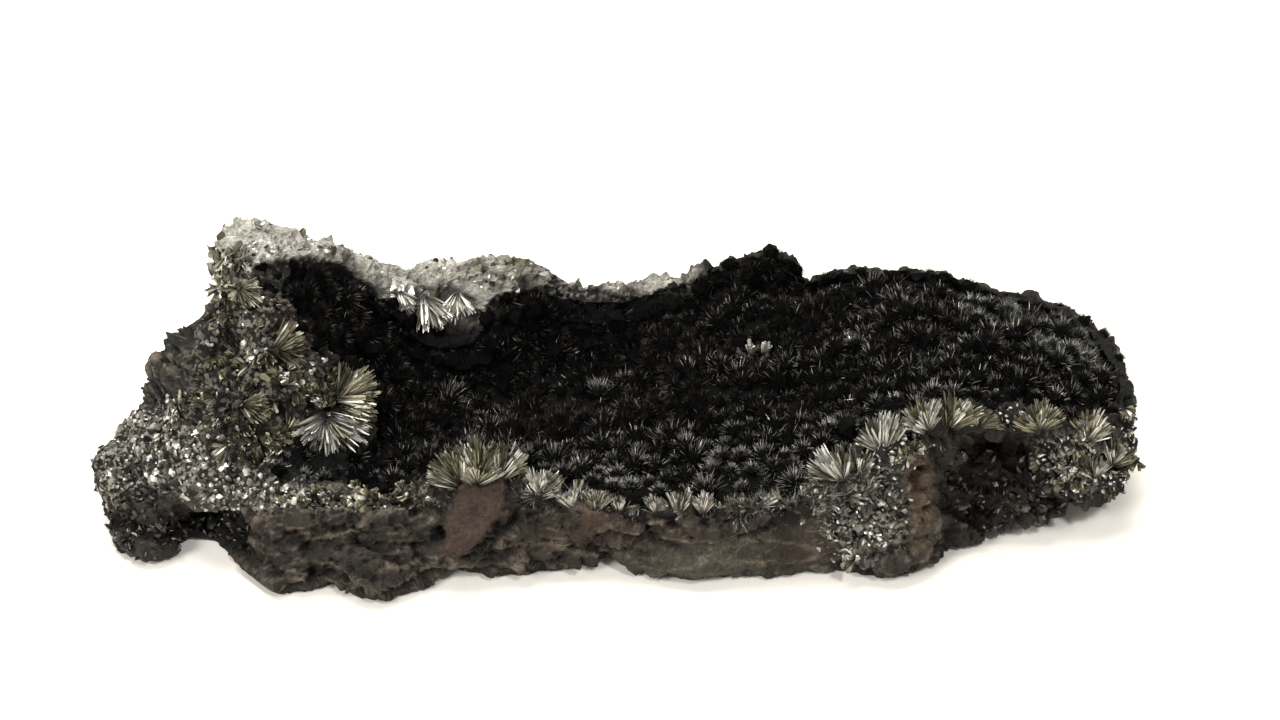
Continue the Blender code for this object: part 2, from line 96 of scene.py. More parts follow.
# Six outlines as seen from the front at 36 degrees above, in mm to the right of and above the middle.
VIEW_LIFT = math.radians(36.0)
VIEW_MIDDLE = (0.0, 0.45, 19.0)
VELVET_OUTLINE = [(-47.5, 12.0), (-43.9, 12.8), (-40.6, 13.5), (-37.4, 13.3), (-34.9, 11.7), (-32.0, 9.0),
                  (-29.3, 7.3), (-26.0, 6.1), (-24.3, 4.9), (-22.4, 3.6), (-20.2, 3.8), (-18.4, 5.5),
                  (-17.3, 8.1), (-15.2, 9.1), (-12.6, 9.6), (-9.0, 10.3), (-5.5, 10.3), (-0.9, 9.0),
                  (3.0, 8.2), (6.3, 8.3), (8.9, 9.2), (10.8, 10.9), (13.7, 14.8), (18.6, 17.4),
                  (24.6, 16.1), (27.7, 14.3), (31.6, 15.6), (36.9, 15.6), (43.4, 14.3), (49.9, 12.4),
                  (56.4, 9.8), (61.9, 7.2), (68.1, 3.3), (72.0, -1.3), (71.4, -4.6), (66.8, -6.2),
                  (60.8, -7.0), (57.9, -10.2), (55.6, -5.5), (50.7, -4.2), (47.8, -6.5), (44.7, -5.2),
                  (41.4, -4.6), (37.5, -5.9), (34.2, -9.1), (30.3, -10.7), (27.5, -12.0), (24.6, -14.1),
                  (23.3, -16.7), (18.6, -17.4), (10.8, -17.2), (3.0, -16.9), (-4.8, -16.4), (-9.4, -15.4),
                  (-11.8, -12.4), (-15.2, -10.4), (-19.1, -10.7), (-22.3, -13.3), (-25.0, -15.1),
                  (-28.2, -16.1), (-36.1, -15.9), (-41.3, -15.4), (-43.1, -13.8), (-41.3, -11.5),
                  (-38.7, -12.0), (-34.5, -13.0), (-30.6, -10.4), (-29.3, -6.8), (-28.8, -2.6), (-29.8, 1.0),
                  (-34.5, 1.6), (-37.9, 2.6), (-40.0, 4.9), (-41.8, 7.8), (-44.9, 9.4), (-47.3, 10.4)]
ROW_OUTLINE = [(-13.1, -14.8), (-7.4, -14.8), (0.4, -15.4), (10.8, -14.3), (18.6, -15.6), (26.4, -14.3),
               (31.9, -14.3), (33.2, -18.2), (29.0, -20.3), (21.2, -20.3), (10.8, -19.3), (3.0, -19.1),
               (-4.8, -19.0), (-12.6, -18.2)]
LOBE_OUTLINE = [(-69.9, -14.3), (-68.0, -10.4), (-62.4, -5.2), (-58.8, -6.2), (-54.6, -7.6), (-50.6, -11.7),
                (-47.8, -14.3), (-41.8, -15.9), (-38.4, -17.4), (-41.3, -18.8), (-49.1, -18.6),
                (-55.0, -17.0), (-58.5, -16.0), (-61.5, -16.0), (-64.5, -18.2), (-66.5, -19.4),
                (-68.9, -18.4)]
WALL_OUTLINE = [(-52.0, 14.7), (-49.6, 15.2), (-46.2, 11.7), (-42.8, 8.9), (-40.5, 4.6), (-37.4, 2.0),
                (-34.8, 1.0), (-34.5, -5.2), (-36.8, -8.3), (-40.0, -8.3), (-41.0, -10.4), (-42.6, -13.3),
                (-46.2, -14.3), (-49.6, -12.5), (-53.6, -8.3), (-56.9, -6.8), (-55.0, -2.6), (-52.4, 1.3),
                (-52.0, 8.0)]
BAND_OUTLINE = [(-43.1, -16.1), (-36.1, -16.4), (-28.2, -16.4), (-24.6, -15.4), (-22.3, -17.7),
                (-23.0, -19.0), (-30.9, -18.6), (-37.4, -18.8), (-42.6, -18.5)]
LUMP_OUTLINE = [(-22.1, -24.1), (-21.5, -20.2), (-20.2, -16.9), (-18.1, -14.6), (-15.5, -13.8),
                (-13.9, -14.8), (-13.7, -17.6), (-15.0, -20.2), (-17.1, -22.8), (-19.4, -25.0)]


def view_up(points):
    """How high each point shows above the middle of the front view, in mm."""
    back = (points[:, 1] - VIEW_MIDDLE[1]) * math.sin(VIEW_LIFT)
    above = (points[:, 2] - VIEW_MIDDLE[2]) * math.cos(VIEW_LIFT)
    return back + above


def ramp(values, start, end):
    """0 before the start and 1 after the end, straight between them."""
    return np.clip((values - start) / (end - start), 0.0, 1.0)


def seen_inside(points, outline):
    """1 for each point that lies in an outline as seen from the front, else 0."""
    across, up = points[:, 0], view_up(points)
    inside = np.zeros(len(points), bool)
    for (x0, y0), (x1, y1) in zip(outline, outline[1:] + outline[:1]):
        if y0 != y1:
            inside ^= ((y0 > up) != (y1 > up)) & (across < (x1 - x0) * (up - y0) / (y1 - y0) + x0)
    return inside.astype(float)


def softly_inside(points, outline, blur=0.5):
    """How far each point is in an outline, with an edge about as wide as twice the blur, in mm."""
    shifts = [(0, 0), (1, 0), (-1, 0), (0, 1), (0, -1),
              (0.7, 0.7), (-0.7, 0.7), (0.7, -0.7), (-0.7, -0.7)]
    return np.mean([seen_inside(points + np.array((x, 0, y / math.cos(VIEW_LIFT))) * blur, outline)
                    for x, y in shifts], axis=0)


def facing_view(normals):
    """How squarely each surface point faces the front view, from -1 to 1."""
    return normals @ np.array((0.0, -math.cos(VIEW_LIFT), math.sin(VIEW_LIFT)))


def near(points, region):
    """How strongly each point is in the region, from 0 to 1, with a soft edge."""
    middle, reach = np.array(region[0]), np.array(region[1])
    away = np.sqrt((((points - middle) / reach) ** 2).sum(axis=1))
    return np.clip((1.35 - away) / 0.7, 0.0, 1.0)


def near_any(points, regions):
    """How strongly each point is in that one of the regions which holds it most."""
    return np.max([near(points, region) for region in regions], axis=0)


def per_point(points, function):
    """What the function gives for each of the points."""
    return np.array([function(Vector(point)) for point in points])


def mesh_of(bm, name):
    """The bmesh as a mesh."""
    mesh = bpy.data.meshes.new(name)
    bm.to_mesh(mesh)
    bm.free()
    return mesh


def in_scene(name, data):
    """A new object of the scene that holds the data."""
    made = bpy.data.objects.new(name, data)
    bpy.context.scene.collection.objects.link(made)
    return made


def solid_copy(solid, name, voxel, smooths):
    """The CAD solid of a node as one closed mesh of even small faces."""
    bm = bmesh.new()
    bm.from_mesh(frame["nodes"][solid].data)
    bmesh.ops.remove_doubles(bm, verts=bm.verts, dist=0.001 * MM)
    piece = in_scene(name, mesh_of(bm, name))
    remesh = piece.modifiers.new("even faces", "REMESH")
    remesh.mode = "VOXEL"
    remesh.voxel_size = voxel
    smooth = piece.modifiers.new("worn edges", "SMOOTH")
    smooth.factor = 0.5
    smooth.iterations = smooths
    flatten(piece)
    return piece


def flatten(piece):
    """Makes what the piece's modifiers give its own plain mesh."""
    evaluated = piece.evaluated_get(bpy.context.evaluated_depsgraph_get())
    old = piece.data
    piece.data = bpy.data.meshes.new_from_object(evaluated)
    piece.data.name = piece.name
    piece.modifiers.clear()
    bpy.data.meshes.remove(old)


def points_of(mesh, values="co"):
    """The places of a mesh's points, or their normals, a row for each."""
    out = np.empty(len(mesh.vertices) * 3)
    mesh.vertices.foreach_get(values, out)
    return out.reshape(-1, 3)


def keep_value(mesh, name, values):
    """Stores one number for each point of the mesh, for the materials and the node trees to read."""
    attribute = mesh.attributes.new(name, "FLOAT", "POINT")
    attribute.data.foreach_set("value", np.asarray(values, np.float32))


def own_cube(cell):
    """The middle of the unit cube that a cell's heart lies in, from which the cell gets its chances."""
    return Vector([math.floor(value) + 0.5 for value in cell[1][0]])


def facets(point, size, slope, step):
    """The height at a point of a surface broken into flat cells, each tilted and set off by chance."""
    cell = noise.voronoi(point / size)
    chance = noise.cell_vector(own_cube(cell))
    return chance.dot(point - cell[1][0] * size) * slope + chance.x * step


def pit(point, size, share, radius, depth):
    """The depth at a point of round pits, one in some of the cells."""
    cell = noise.voronoi(point / size)
    chosen = noise.cell(own_cube(cell)) < share
    return -depth * max(0.0, 1 - (cell[0][0] / radius) ** 2) if chosen else 0.0


def groove(point, size, width):
    """1 in the cracks between cells of a size, falling to 0 beside them."""
    apart = noise.voronoi(point / size)[0]
    return max(0.0, 1 - (apart[1] - apart[0]) / width)


STEP_DEPTH = 2.6


def step_down(points):
    """How far each point lies below the even form, in mm, behind the step in the velvet's highest part."""
    x = points[:, 0]
    return STEP_DEPTH * ramp(x, 24.3, 25.2) * ramp(x, 29.0, 26.0) * ramp(view_up(points), 6.5, 9.5)


ASIDES = ((0, 0, 0), (17.3, 5.1, 9.7), (3.9, 31.7, 13.3))       # places in the noise, one for each axis


def stirred(point):
    """A small shift that changes from place to place, the same in each run."""
    return Vector([noise.noise(point + Vector(aside)) for aside in ASIDES])


def layered(size_x, size_y, size_z, bend, bend_size):
    """Noise stretched along the bedding, at each point of the ore, with its layers bent."""
    return per_point(spots, lambda p: noise.noise(Vector((
        p.x / size_x, p.y / size_y, p.z / size_z + bend * noise.noise(p / bend_size)))))


ore = solid_copy("matrix", "ore", ORE_VOXEL, 6)
spots = points_of(ore.data) / MM
ways = points_of(ore.data, "normal")
velvet_solid = frame["nodes"]["velvet_crust"].data
velvet_tree = BVHTree.FromPolygons([v.co / MM for v in velvet_solid.vertices],
                                   [tuple(p.vertices) for p in velvet_solid.polygons])
beside = [velvet_tree.find_nearest(Vector(p), 0.7)[0] is not None for p in spots]
under_velvet = np.array(beside).astype(float)
to_front = np.clip(facing_view(ways) * 4 + 0.5, 0.0, 1.0)
lump = softly_inside(spots, LUMP_OUTLINE) * to_front
wander = per_point(spots, lambda p: noise.noise(p / 3.0))
frayed = spots + np.stack([1.6 * wander, 0.0 * wander, 1.4 * wander], axis=1)
lobe = np.maximum(softly_inside(frayed, LOBE_OUTLINE, 1.2) * to_front, near(spots, LOBE_BACK))
smoothness = np.maximum(near_any(spots, [OLIVE_SWELL, SLOPE_LUMP, BROWN_SPOT]), lump)
smoothness = np.maximum(smoothness, 0.45 * near_any(spots, PALE_RIM[:3]) * (1 - near(spots, RIM_KNOB)))
front = np.clip((-15.0 - spots[:, 1]) / 3.0, 0.0, 1.0) * np.clip((12.0 - spots[:, 2]) / 3.0, 0.0, 1.0)
front = np.maximum(front, near(spots, REAR_LEFT))
CRUMBLY = ((RECESS, 0.9), (BUTTRESS, 0.5), (BROWN_STREAK, 0.9), (WALL, 0.4), (WALL_BROWN, 1.0),
           (RIM_KNOB, 1.0))             # how strongly each region crumbles
GRANULAR = ((BUTTRESS, 0.7), (RIGHT_GRAINS, 0.6), (WALL, 0.5), (FRONT_BAND, 0.4))
crumbled = np.maximum.reduce([near_any(spots, PALE_RIM) * 0.3]
                             + [near(spots, region) * share for region, share in CRUMBLY])
granular = np.maximum.reduce([lobe, 0.5 * near_any(spots, PALE_RIM)]
                             + [near(spots, region) * share for region, share in GRANULAR]) * (1 - smoothness)

SWELLS = ((6.0, 0.8), (2.3, 0.3))       # how wide and how high, in mm
# A place in the noise, then what facets and pit ask for after the point.
BLOCKS = (((0, 0, 0), 5.0, 0.26, 0.45), ((31, 7, 3), 2.1, 0.36, 0.30))
PITS = (((0, 0, 0), 1.7, 0.30, 0.42, 0.9), ((5, 11, 2), 3.6, 0.22, 0.40, 1.6))
CRACKS_APART = 5.5
CRACK_WIDTH = 0.10                      # as a share of the cells' size
CRUMB_SIZE = 1.15
LINE_WIDTH = 0.05
swells = per_point(spots, lambda p: sum(high * noise.noise(p / wide) for wide, high in SWELLS))
blocks = per_point(spots, lambda p: sum(facets(p + Vector(place), *form) for place, *form in BLOCKS))
pits = per_point(spots, lambda p: sum(pit(p + Vector(place), *form) for place, *form in PITS))
cracks = per_point(spots, lambda p: groove(p + 0.8 * stirred(p / 2.5), CRACKS_APART, CRACK_WIDTH))
cracks *= 1 - near(spots, BROWN_STREAK)
crumbs = per_point(spots, lambda p: 0.5 - noise.voronoi(p / CRUMB_SIZE)[0][0])
ledges = layered(13.0, 7.0, 1.9, 1.1, 8.0)
seams = layered(9.0, 6.0, 0.9, 1.6, 6.0)
crust_line = np.maximum(np.exp(-(ledges / LINE_WIDTH) ** 2), 0.7 * np.exp(-(seams / LINE_WIDTH) ** 2)) * front
ledges = np.sign(ledges) * np.abs(ledges) ** 0.5
roughness = 1 - 0.85 * smoothness
height = swells * (1 - 0.5 * smoothness) + blocks * roughness * (1 - 0.6 * granular)
height = height + (pits - 0.45 * cracks) * roughness
height += crumbs * (0.30 - 0.15 * front + 0.75 * np.maximum(crumbled, granular)) * roughness
height += (1.1 * ledges + 0.3 * np.sign(seams)) * front * roughness + 0.9 * lump
to_view = Vector((0.0, -math.cos(VIEW_LIFT), math.sin(VIEW_LIFT)))
covered = np.array([velvet_tree.ray_cast(Vector(p) + to_view * 0.05, to_view)[0] is not None for p in spots])
in_velvet = seen_inside(spots, VELVET_OUTLINE) * (facing_view(ways) > -0.2) * ~covered
bare = (1 - in_velvet) * (1 - under_velvet)
notch = np.maximum(near(spots, REAR_NOTCH), near(spots, WALL_PIT))
height = np.where(under_velvet > 0, np.minimum(height, 0.0) - 1.2,
                  height * (1 - 0.5 * in_velvet) - 0.5 * in_velvet)
height -= 1.8 * notch + near(spots, RIGHT_END) * bare
height = np.clip(height, -2.4, 1.3) * np.clip((spots[:, 2] - 0.1) / 1.2, 0.12, 1.0)     # least at the foot
spots += ways * height[:, None]
view_height = view_up(spots)
spots[:, 2] -= step_down(spots)
# How far in the wall's left edge lies, in mm, at each height in the front view.
LEFT_SHIFTS = [(-8.6, 0.0), (-7.0, 1.6), (-5.5, 2.2), (-3.9, 1.2), (-2.3, 0.0), (4.5, -0.5), (6.0, 2.2),
               (10.5, 2.3), (13.3, 0.9), (15.5, 0.0)]
heights, shifts = zip(*LEFT_SHIFTS)
shift_start = -56.0 + 7.0 * ramp(view_height, 2.0, 6.0)
spots[:, 0] += np.interp(view_height, heights, shifts) * ramp(spots[:, 0], shift_start, shift_start - 5.0)
spots[:, 2] = np.maximum(spots[:, 2], 0.0)
ore.data.vertices.foreach_set("co", (spots * MM).ravel())
ore.data.update()
ore.data.update()


def linear(hex_colour):
    """An sRGB hex colour as the linear values that Blender works in."""
    channels = [int(hex_colour[i:i + 2], 16) / 255 for i in (1, 3, 5)]
    return (*[c / 12.92 if c <= 0.04045 else ((c + 0.055) / 1.055) ** 2.4 for c in channels], 1.0)


def laid_over(colours, share, colour):
    """The colours with one more laid over them, as strongly at each point as its share says."""
    return colours * (1 - share[:, None]) + np.array(linear(colour)) * share[:, None]


ORE_COLOURS = [                         # laid over each other in this order
    (None, "#2b2722"),                  # the broken ore itself
    (WALL, "#15130f"),
    (BROWN_BAND, "#332b24"),
    (FRONT_BAND, "#26221d"),
    (BUTTRESS, "#211f1b"),
    (BUTTRESS_TOP, "#1f1c18"),
    (RECESS_TOP, "#1c1a16"),
    (OLIVE_SWELL, "#3c3931"),
    (SLOPE_LUMP, "#362e27"),
    (BROWN_SPOT, "#3a2e26"),
    (BROWN_STREAK, "#4e4134"),
    (RIGHT_GRAINS, "#1b1814"),
    (RIGHT_END, "#1d1b18"),
    (REAR_LEFT, "#151713"),
    (WALL_BROWN, "#1e1610"),
    # painted shade: the recess, the cave, the notch at the rear and the wall's pit are coloured darker for
    # the shade in them
    (RECESS, "#1c1714"),
    (CAVE, "#131110"),
    (REAR_NOTCH, "#100f0d"),
    (WALL_PIT, "#080707"),
]
tint = np.tile(np.array(linear(ORE_COLOURS[0][1])), (len(spots), 1))
for region, colour in ORE_COLOURS[1:]:
    tint = laid_over(tint, near(spots, region), colour)
# partly painted light: the pale colour laid on the rim and the wall's top is partly their own colour and
# partly painted light from above
pale_and_top_lit = np.maximum.reduce([near_any(spots, PALE_RIM[:3]), near(spots, WALL_TOP),
                          near_any(spots, PALE_RIM[3:]) * np.clip(0.5 + 1.4 * wander, 0.0, 1.0)])
olive = near(spots, RIM_KNOB) * np.clip(0.6 + wander, 0.2, 1.0)
shadowed = near_any(spots, [LOBE_FOOT, UNDER_ROSETTE])
drift = per_point(spots, lambda p: noise.noise(p / 14.0) + 0.5 * noise.noise(p / 5.0))
hidden = np.clip(0.2 - facing_view(ways), 0.0, 1.0)
for share, colour in ((pale_and_top_lit, "#a9a79f"), (lobe, "#22211f"), (lump, "#3b2f28"),
                      (0.65 * crust_line * (1 - lump), "#756a5d"), (olive, "#54503f"),
                      (0.85 * shadowed, "#11100e"), (hidden * np.clip(2.2 * drift, 0.0, 0.8), "#554c40"),
                      (hidden * np.clip(-2.2 * drift, 0.0, 0.7), "#161412"),
                      # painted shade: where the velvet grows on or over the ore, the ore is near-black, as
                      # the shade between the tufts
                      (np.maximum(in_velvet, under_velvet), "#060607")):
    tint = laid_over(tint, share, colour)
tint_layer = ore.data.color_attributes.new("tint", "FLOAT_COLOR", "POINT")
tint_layer.data.foreach_set("color", tint.astype(np.float32).ravel())
keep_value(ore.data, "granular", granular)
# painted shade: the lower a point lies in pits and cracks, the darker the ore material paints it
keep_value(ore.data, "deep", np.clip(-height / 1.2, 0.0, 1.0))


def node(tree, kind, inputs=None, **settings):
    """Adds a node. An input is given by name or place, as a value or as another node's socket."""
    made = tree.nodes.new(kind)
    for key, value in settings.items():
        setattr(made, key, value)
    for key, value in (inputs or {}).items():
        if isinstance(value, bpy.types.NodeSocket):
            tree.links.new(value, made.inputs[key])
        else:
            made.inputs[key].default_value = value
    return made


def new_material(name):
    """An empty material and its tree."""
    made = bpy.data.materials.new(name)
    made.use_nodes = True
    made.node_tree.nodes.clear()
    return made, made.node_tree


def surface(tree, inputs):
    """The tree's shader with these inputs, joined to the output."""
    shader = node(tree, "ShaderNodeBsdfPrincipled", inputs)
    node(tree, "ShaderNodeOutputMaterial", {"Surface": shader.outputs[0]})


def read(tree, name, output="Fac"):
    """A value that the mesh keeps for each point."""
    return node(tree, "ShaderNodeAttribute", attribute_name=name).outputs[output]


def reckon(tree, operation, first, second):
    """The sum, product or comparison of two numbers."""
    return node(tree, "ShaderNodeMath", {0: first, 1: second}, operation=operation).outputs[0]


def mapped(tree, value, start=0.0, end=1.0, least=0.0, greatest=1.0):
    """The least before the start and the greatest after the end, straight between them."""
    return node(tree, "ShaderNodeMapRange", {"Value": value, "From Min": start, "From Max": end,
                                             "To Min": least, "To Max": greatest}).outputs[0]


def noise_at(tree, place, scale, detail, roughness=0.5):
    """Soft noise at a place."""
    return node(tree, "ShaderNodeTexNoise", {"Vector": place, "Scale": scale, "Detail": detail,
                                             "Roughness": roughness}).outputs["Fac"]


def mixed(tree, share, first, second):
    """The first colour, and as much of the second as the share says."""
    return node(tree, "ShaderNodeMix", {"Factor": share, 6: first, 7: second}, data_type="RGBA").outputs[2]


def scaled(tree, vector, by):
    """A vector or colour times a number."""
    return node(tree, "ShaderNodeVectorMath", {0: vector, "Scale": by}, operation="SCALE").outputs[0]


def added(tree, first, second):
    """The sum of two vectors."""
    return node(tree, "ShaderNodeVectorMath", {0: first, 1: second}, operation="ADD").outputs[0]


# Massive manganese ore: an opaque black-brown oxide, fine-grained and dull where it is earthy, with bright
# specks where a grain broke flat. It reads as dark rough stone that sparkles faintly in its granular parts.
ore_skin, tree = new_material("earthy manganese ore")
place = node(tree, "ShaderNodeTexCoord").outputs["Object"]
in_mm = node(tree, "ShaderNodeMapping", {"Vector": place, "Scale": (1 / MM,) * 3}).outputs[0]
mottle = noise_at(tree, in_mm, 0.32, 6.0, 0.62)
speckle = noise_at(tree, in_mm, 2.4, 4.0, 0.7)
fine_pits = noise_at(tree, in_mm, 6.5, 3.0, 0.6)
grains = node(tree, "ShaderNodeTexVoronoi", {"Vector": in_mm, "Scale": 1.9}).outputs["Color"]
gain = reckon(tree, "MULTIPLY", mapped(tree, mottle, 0.3, 0.7, 0.5, 1.45),
              mapped(tree, speckle, 0.35, 0.7, 0.55, 1.5))
# painted shade: darker in the pits and cracks
gain = reckon(tree, "MULTIPLY", gain, mapped(tree, read(tree, "deep"), least=1.0, greatest=0.35))
toned = scaled(tree, read(tree, "tint", "Color"), gain)
grain_random = node(tree, "ShaderNodeSeparateColor", {0: grains}).outputs[0]
bright = reckon(tree, "MULTIPLY", mapped(tree, grain_random, 0.55, 0.9), read(tree, "granular"))
tilted = scaled(tree, added(tree, grains, (-0.5, -0.5, -0.5)), bright)
facing = node(tree, "ShaderNodeNewGeometry").outputs["Normal"]
facet = node(tree, "ShaderNodeVectorMath", {0: added(tree, facing, tilted)}, operation="NORMALIZE").outputs[0]
coarse_bump = node(tree, "ShaderNodeBump", {"Height": speckle, "Strength": 1.0, "Distance": 0.5 * MM,
                                            "Normal": facet}).outputs[0]
fine_bump = node(tree, "ShaderNodeBump", {"Height": fine_pits, "Strength": 0.8, "Distance": 0.1 * MM,
                                          "Normal": coarse_bump}).outputs[0]
surface(tree, {"Base Color": mixed(tree, bright, toned, linear("#a5a096")), "Metallic": bright,
               "Roughness": mapped(tree, bright, least=0.72, greatest=0.32), "Normal": fine_bump,
               "Specular IOR Level": 0.25})
ore.data.materials.clear()
ore.data.materials.append(ore_skin)
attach(ore, "root")
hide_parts("matrix")


# The bladed crystals are pyrolusite, flat metallic laths a few millimetres long that grew outwards from a
# common root and were broken across, so each fan shows its blades side by side like an opened hand of cards.
# Each fan: its root in mm, the way it looks, its blades' length in mm, their heading seen from the front
# (0 right, 90 up), their spread in degrees, and the share of them that is gold.
SPRAYS = {
    "rosette_spray": [
        ((-37.2, -8.2, 16.2), (0.17, -0.77, 0.61), 6.0, -85, 150, 0.2),
        ((-35.6, -6.9, 16.7), (0.33, -0.69, 0.65), 5.4, -20, 80, 0.45),
        ((-36.1, -6.5, 17.8), (0.25, -0.73, 0.64), 6.2, 32, 84, 0.7)],
    "wall_spray": [((-44.0, -4.4, 24.1), (-0.01, -0.78, 0.62), 4.8, 8, 96, 0.8)],
    "wall_low_spray": [((-48.0, -8.7, 18.4), (-0.05, -0.78, 0.63), 4.4, -10, 80, 0.7)],
    "wall_high_spray": [((-48.5, 1.7, 29.5), (-0.07, -0.69, 0.72), 3.8, -25, 100, 0.6)],
    "rim_spray": [((-29.2, 13.8, 20.6), (0.62, -0.50, 0.60), 3.6, -60, 70, 0.3),
                  ((-25.9, 15.0, 19.0), (0.35, -0.74, 0.57), 5.2, -70, 76, 0.35),
                  ((-21.8, 16.7, 18.4), (0.10, -0.83, 0.55), 5.2, -88, 80, 0.35)],
    "front_left_spray": [((-19.6, -18.3, 12.9), (0.0, -0.78, 0.63), 5.8, 114, 110, 0.6),
                         ((-17.4, -18.0, 13.3), (0.03, -0.78, 0.62), 6.0, 94, 80, 0.6),
                         ((-14.8, -17.4, 13.5), (0.06, -0.80, 0.59), 5.2, 66, 90, 0.6),
                         ((-17.6, -18.6, 13.3), (0.03, -0.78, 0.62), 4.0, 92, 130, 0.7)],
    "front_middle_spray": [((-9.8, -18.4, 11.1), (-0.04, -0.84, 0.55), 4.4, 72, 100, 0.45)],
    "ledge_left_spray": [((-5.6, -19.4, 10.1), (-0.07, -0.85, 0.52), 3.1, 106, 70, 0.45),
                         ((-2.6, -19.7, 10.0), (-0.05, -0.85, 0.52), 3.7, 84, 80, 0.45),
                         ((0.3, -20.0, 10.0), (-0.03, -0.85, 0.52), 2.8, 92, 60, 0.4)],
    "ledge_right_spray": [((5.0, -20.2, 10.0), (-0.04, -0.85, 0.53), 3.0, 100, 70, 0.4),
                          ((7.9, -20.4, 10.1), (-0.04, -0.85, 0.53), 3.8, 82, 84, 0.35),
                          ((11.0, -20.7, 10.2), (-0.03, -0.84, 0.54), 3.2, 96, 64, 0.35)],
    "buttress_low_spray": [((28.8, -17.8, 13.1), (0.01, -0.81, 0.59), 5.4, 128, 120, 0.3),
                           ((30.6, -17.0, 13.6), (0.05, -0.80, 0.60), 4.2, 84, 90, 0.3),
                           ((28.0, -19.0, 10.4), (0.0, -0.82, 0.57), 3.2, 150, 90, 0.3)],
    "buttress_middle_spray": [((33.9, -15.5, 16.0), (0.0, -0.80, 0.60), 5.4, 108, 96, 0.4)],
    "buttress_high_spray": [((39.5, -13.7, 18.1), (0.16, -0.88, 0.45), 5.2, 116, 96, 0.7),
                            ((42.4, -13.1, 18.1), (0.16, -0.88, 0.45), 5.2, 72, 96, 0.7),
                            ((45.9, -12.7, 18.1), (0.05, -0.92, 0.38), 3.4, 60, 110, 0.9)],
    "right_spray": [((54.2, -11.5, 16.6), (0.08, -0.95, 0.30), 4.6, 96, 130, 0.9)],
    "right_end_spray": [((60.3, -11.1, 14.6), (0.24, -0.90, 0.36), 4.6, 84, 110, 0.6),
                        ((64.0, -10.4, 10.0), (0.3, -0.85, 0.42), 4.0, 74, 100, 0.4),
                        ((61.6, -11.4, 8.6), (0.2, -0.86, 0.47), 3.2, 100, 110, 0.4)],
}
# The range of painted light that a spray's bundles of blades are given, where it isn't the whole one.
SPRAY_GLOW = {"rosette_spray": (0.0, 0.85), "rim_spray": (0.45, 1.0), "ledge_left_spray": (0.1, 0.8),
              "ledge_right_spray": (0.1, 0.8), "front_left_spray": (0.1, 0.8), "wall_spray": (0.0, 0.8),
              "wall_low_spray": (0.0, 0.7), "wall_high_spray": (0.0, 0.6)}
WHOLE_GLOW = (0.0, 1.0)
BLADE_PITCH = 1.8                       # degrees from one blade to the next in a layer
BLADE_LAYERS = [(4, 1.0), (17, 0.96), (33, 0.82)]       # each layer's rise in degrees, and its length
BUNDLE_PITCH = 17.0                     # degrees between bundles, in which the blades lie nearly side by side


def start_blades():
    """A new mesh whose points keep how far out along a blade they are, and its random number and gold."""
    bm = bmesh.new()
    for label in ("along", "chance", "gold"):
        bm.verts.layers.float.new(label)
    bm.loops.layers.uv.new("UVMap")
    return bm


def add_blade(bm, root, way, across, length, width, thick, chance, gold):
    """A flat lath from its root, narrow there, widest near its end, and cut off slantwise."""
    along, lot, hue = (bm.verts.layers.float[name] for name in ("along", "chance", "gold"))
    uv = bm.loops.layers.uv["UVMap"]
    up = way.cross(across).normalized()
    slant = (chance - 0.5) * 0.9
    rings = []
    for t, w, h in ((0.06, 0.25, 0.5), (0.45, 0.8, 1.0), (0.9, 1.0, 0.8), (1.0, 0.45, 0.35)):
        middle = root + way * length * t + across * width * slant * (0.5 if t == 1.0 else 0.0)
        ring = [middle + across * width * w / 2 * a + up * thick * h / 2 * b
                for a, b in ((-1, -1), (1, -1), (1, 1), (-1, 1))]
        ring = [bm.verts.new(p * MM) for p in ring]
        for vert in ring:
            vert[along], vert[lot], vert[hue] = t, chance, gold
        rings.append(ring)
    faces = []
    for near_ring, far_ring in zip(rings, rings[1:]):
        for i in range(4):
            j = (i + 1) % 4
            faces.append(bm.faces.new((near_ring[i], near_ring[j], far_ring[j], far_ring[i])))
    faces.append(bm.faces.new(rings[0][::-1]))
    faces.append(bm.faces.new(rings[-1]))
    for face in faces:
        for loop in face.loops:
            offset = loop.vert.co / MM - root
            loop[uv].uv = (offset.dot(across) + 7.3 * chance, offset.dot(way))


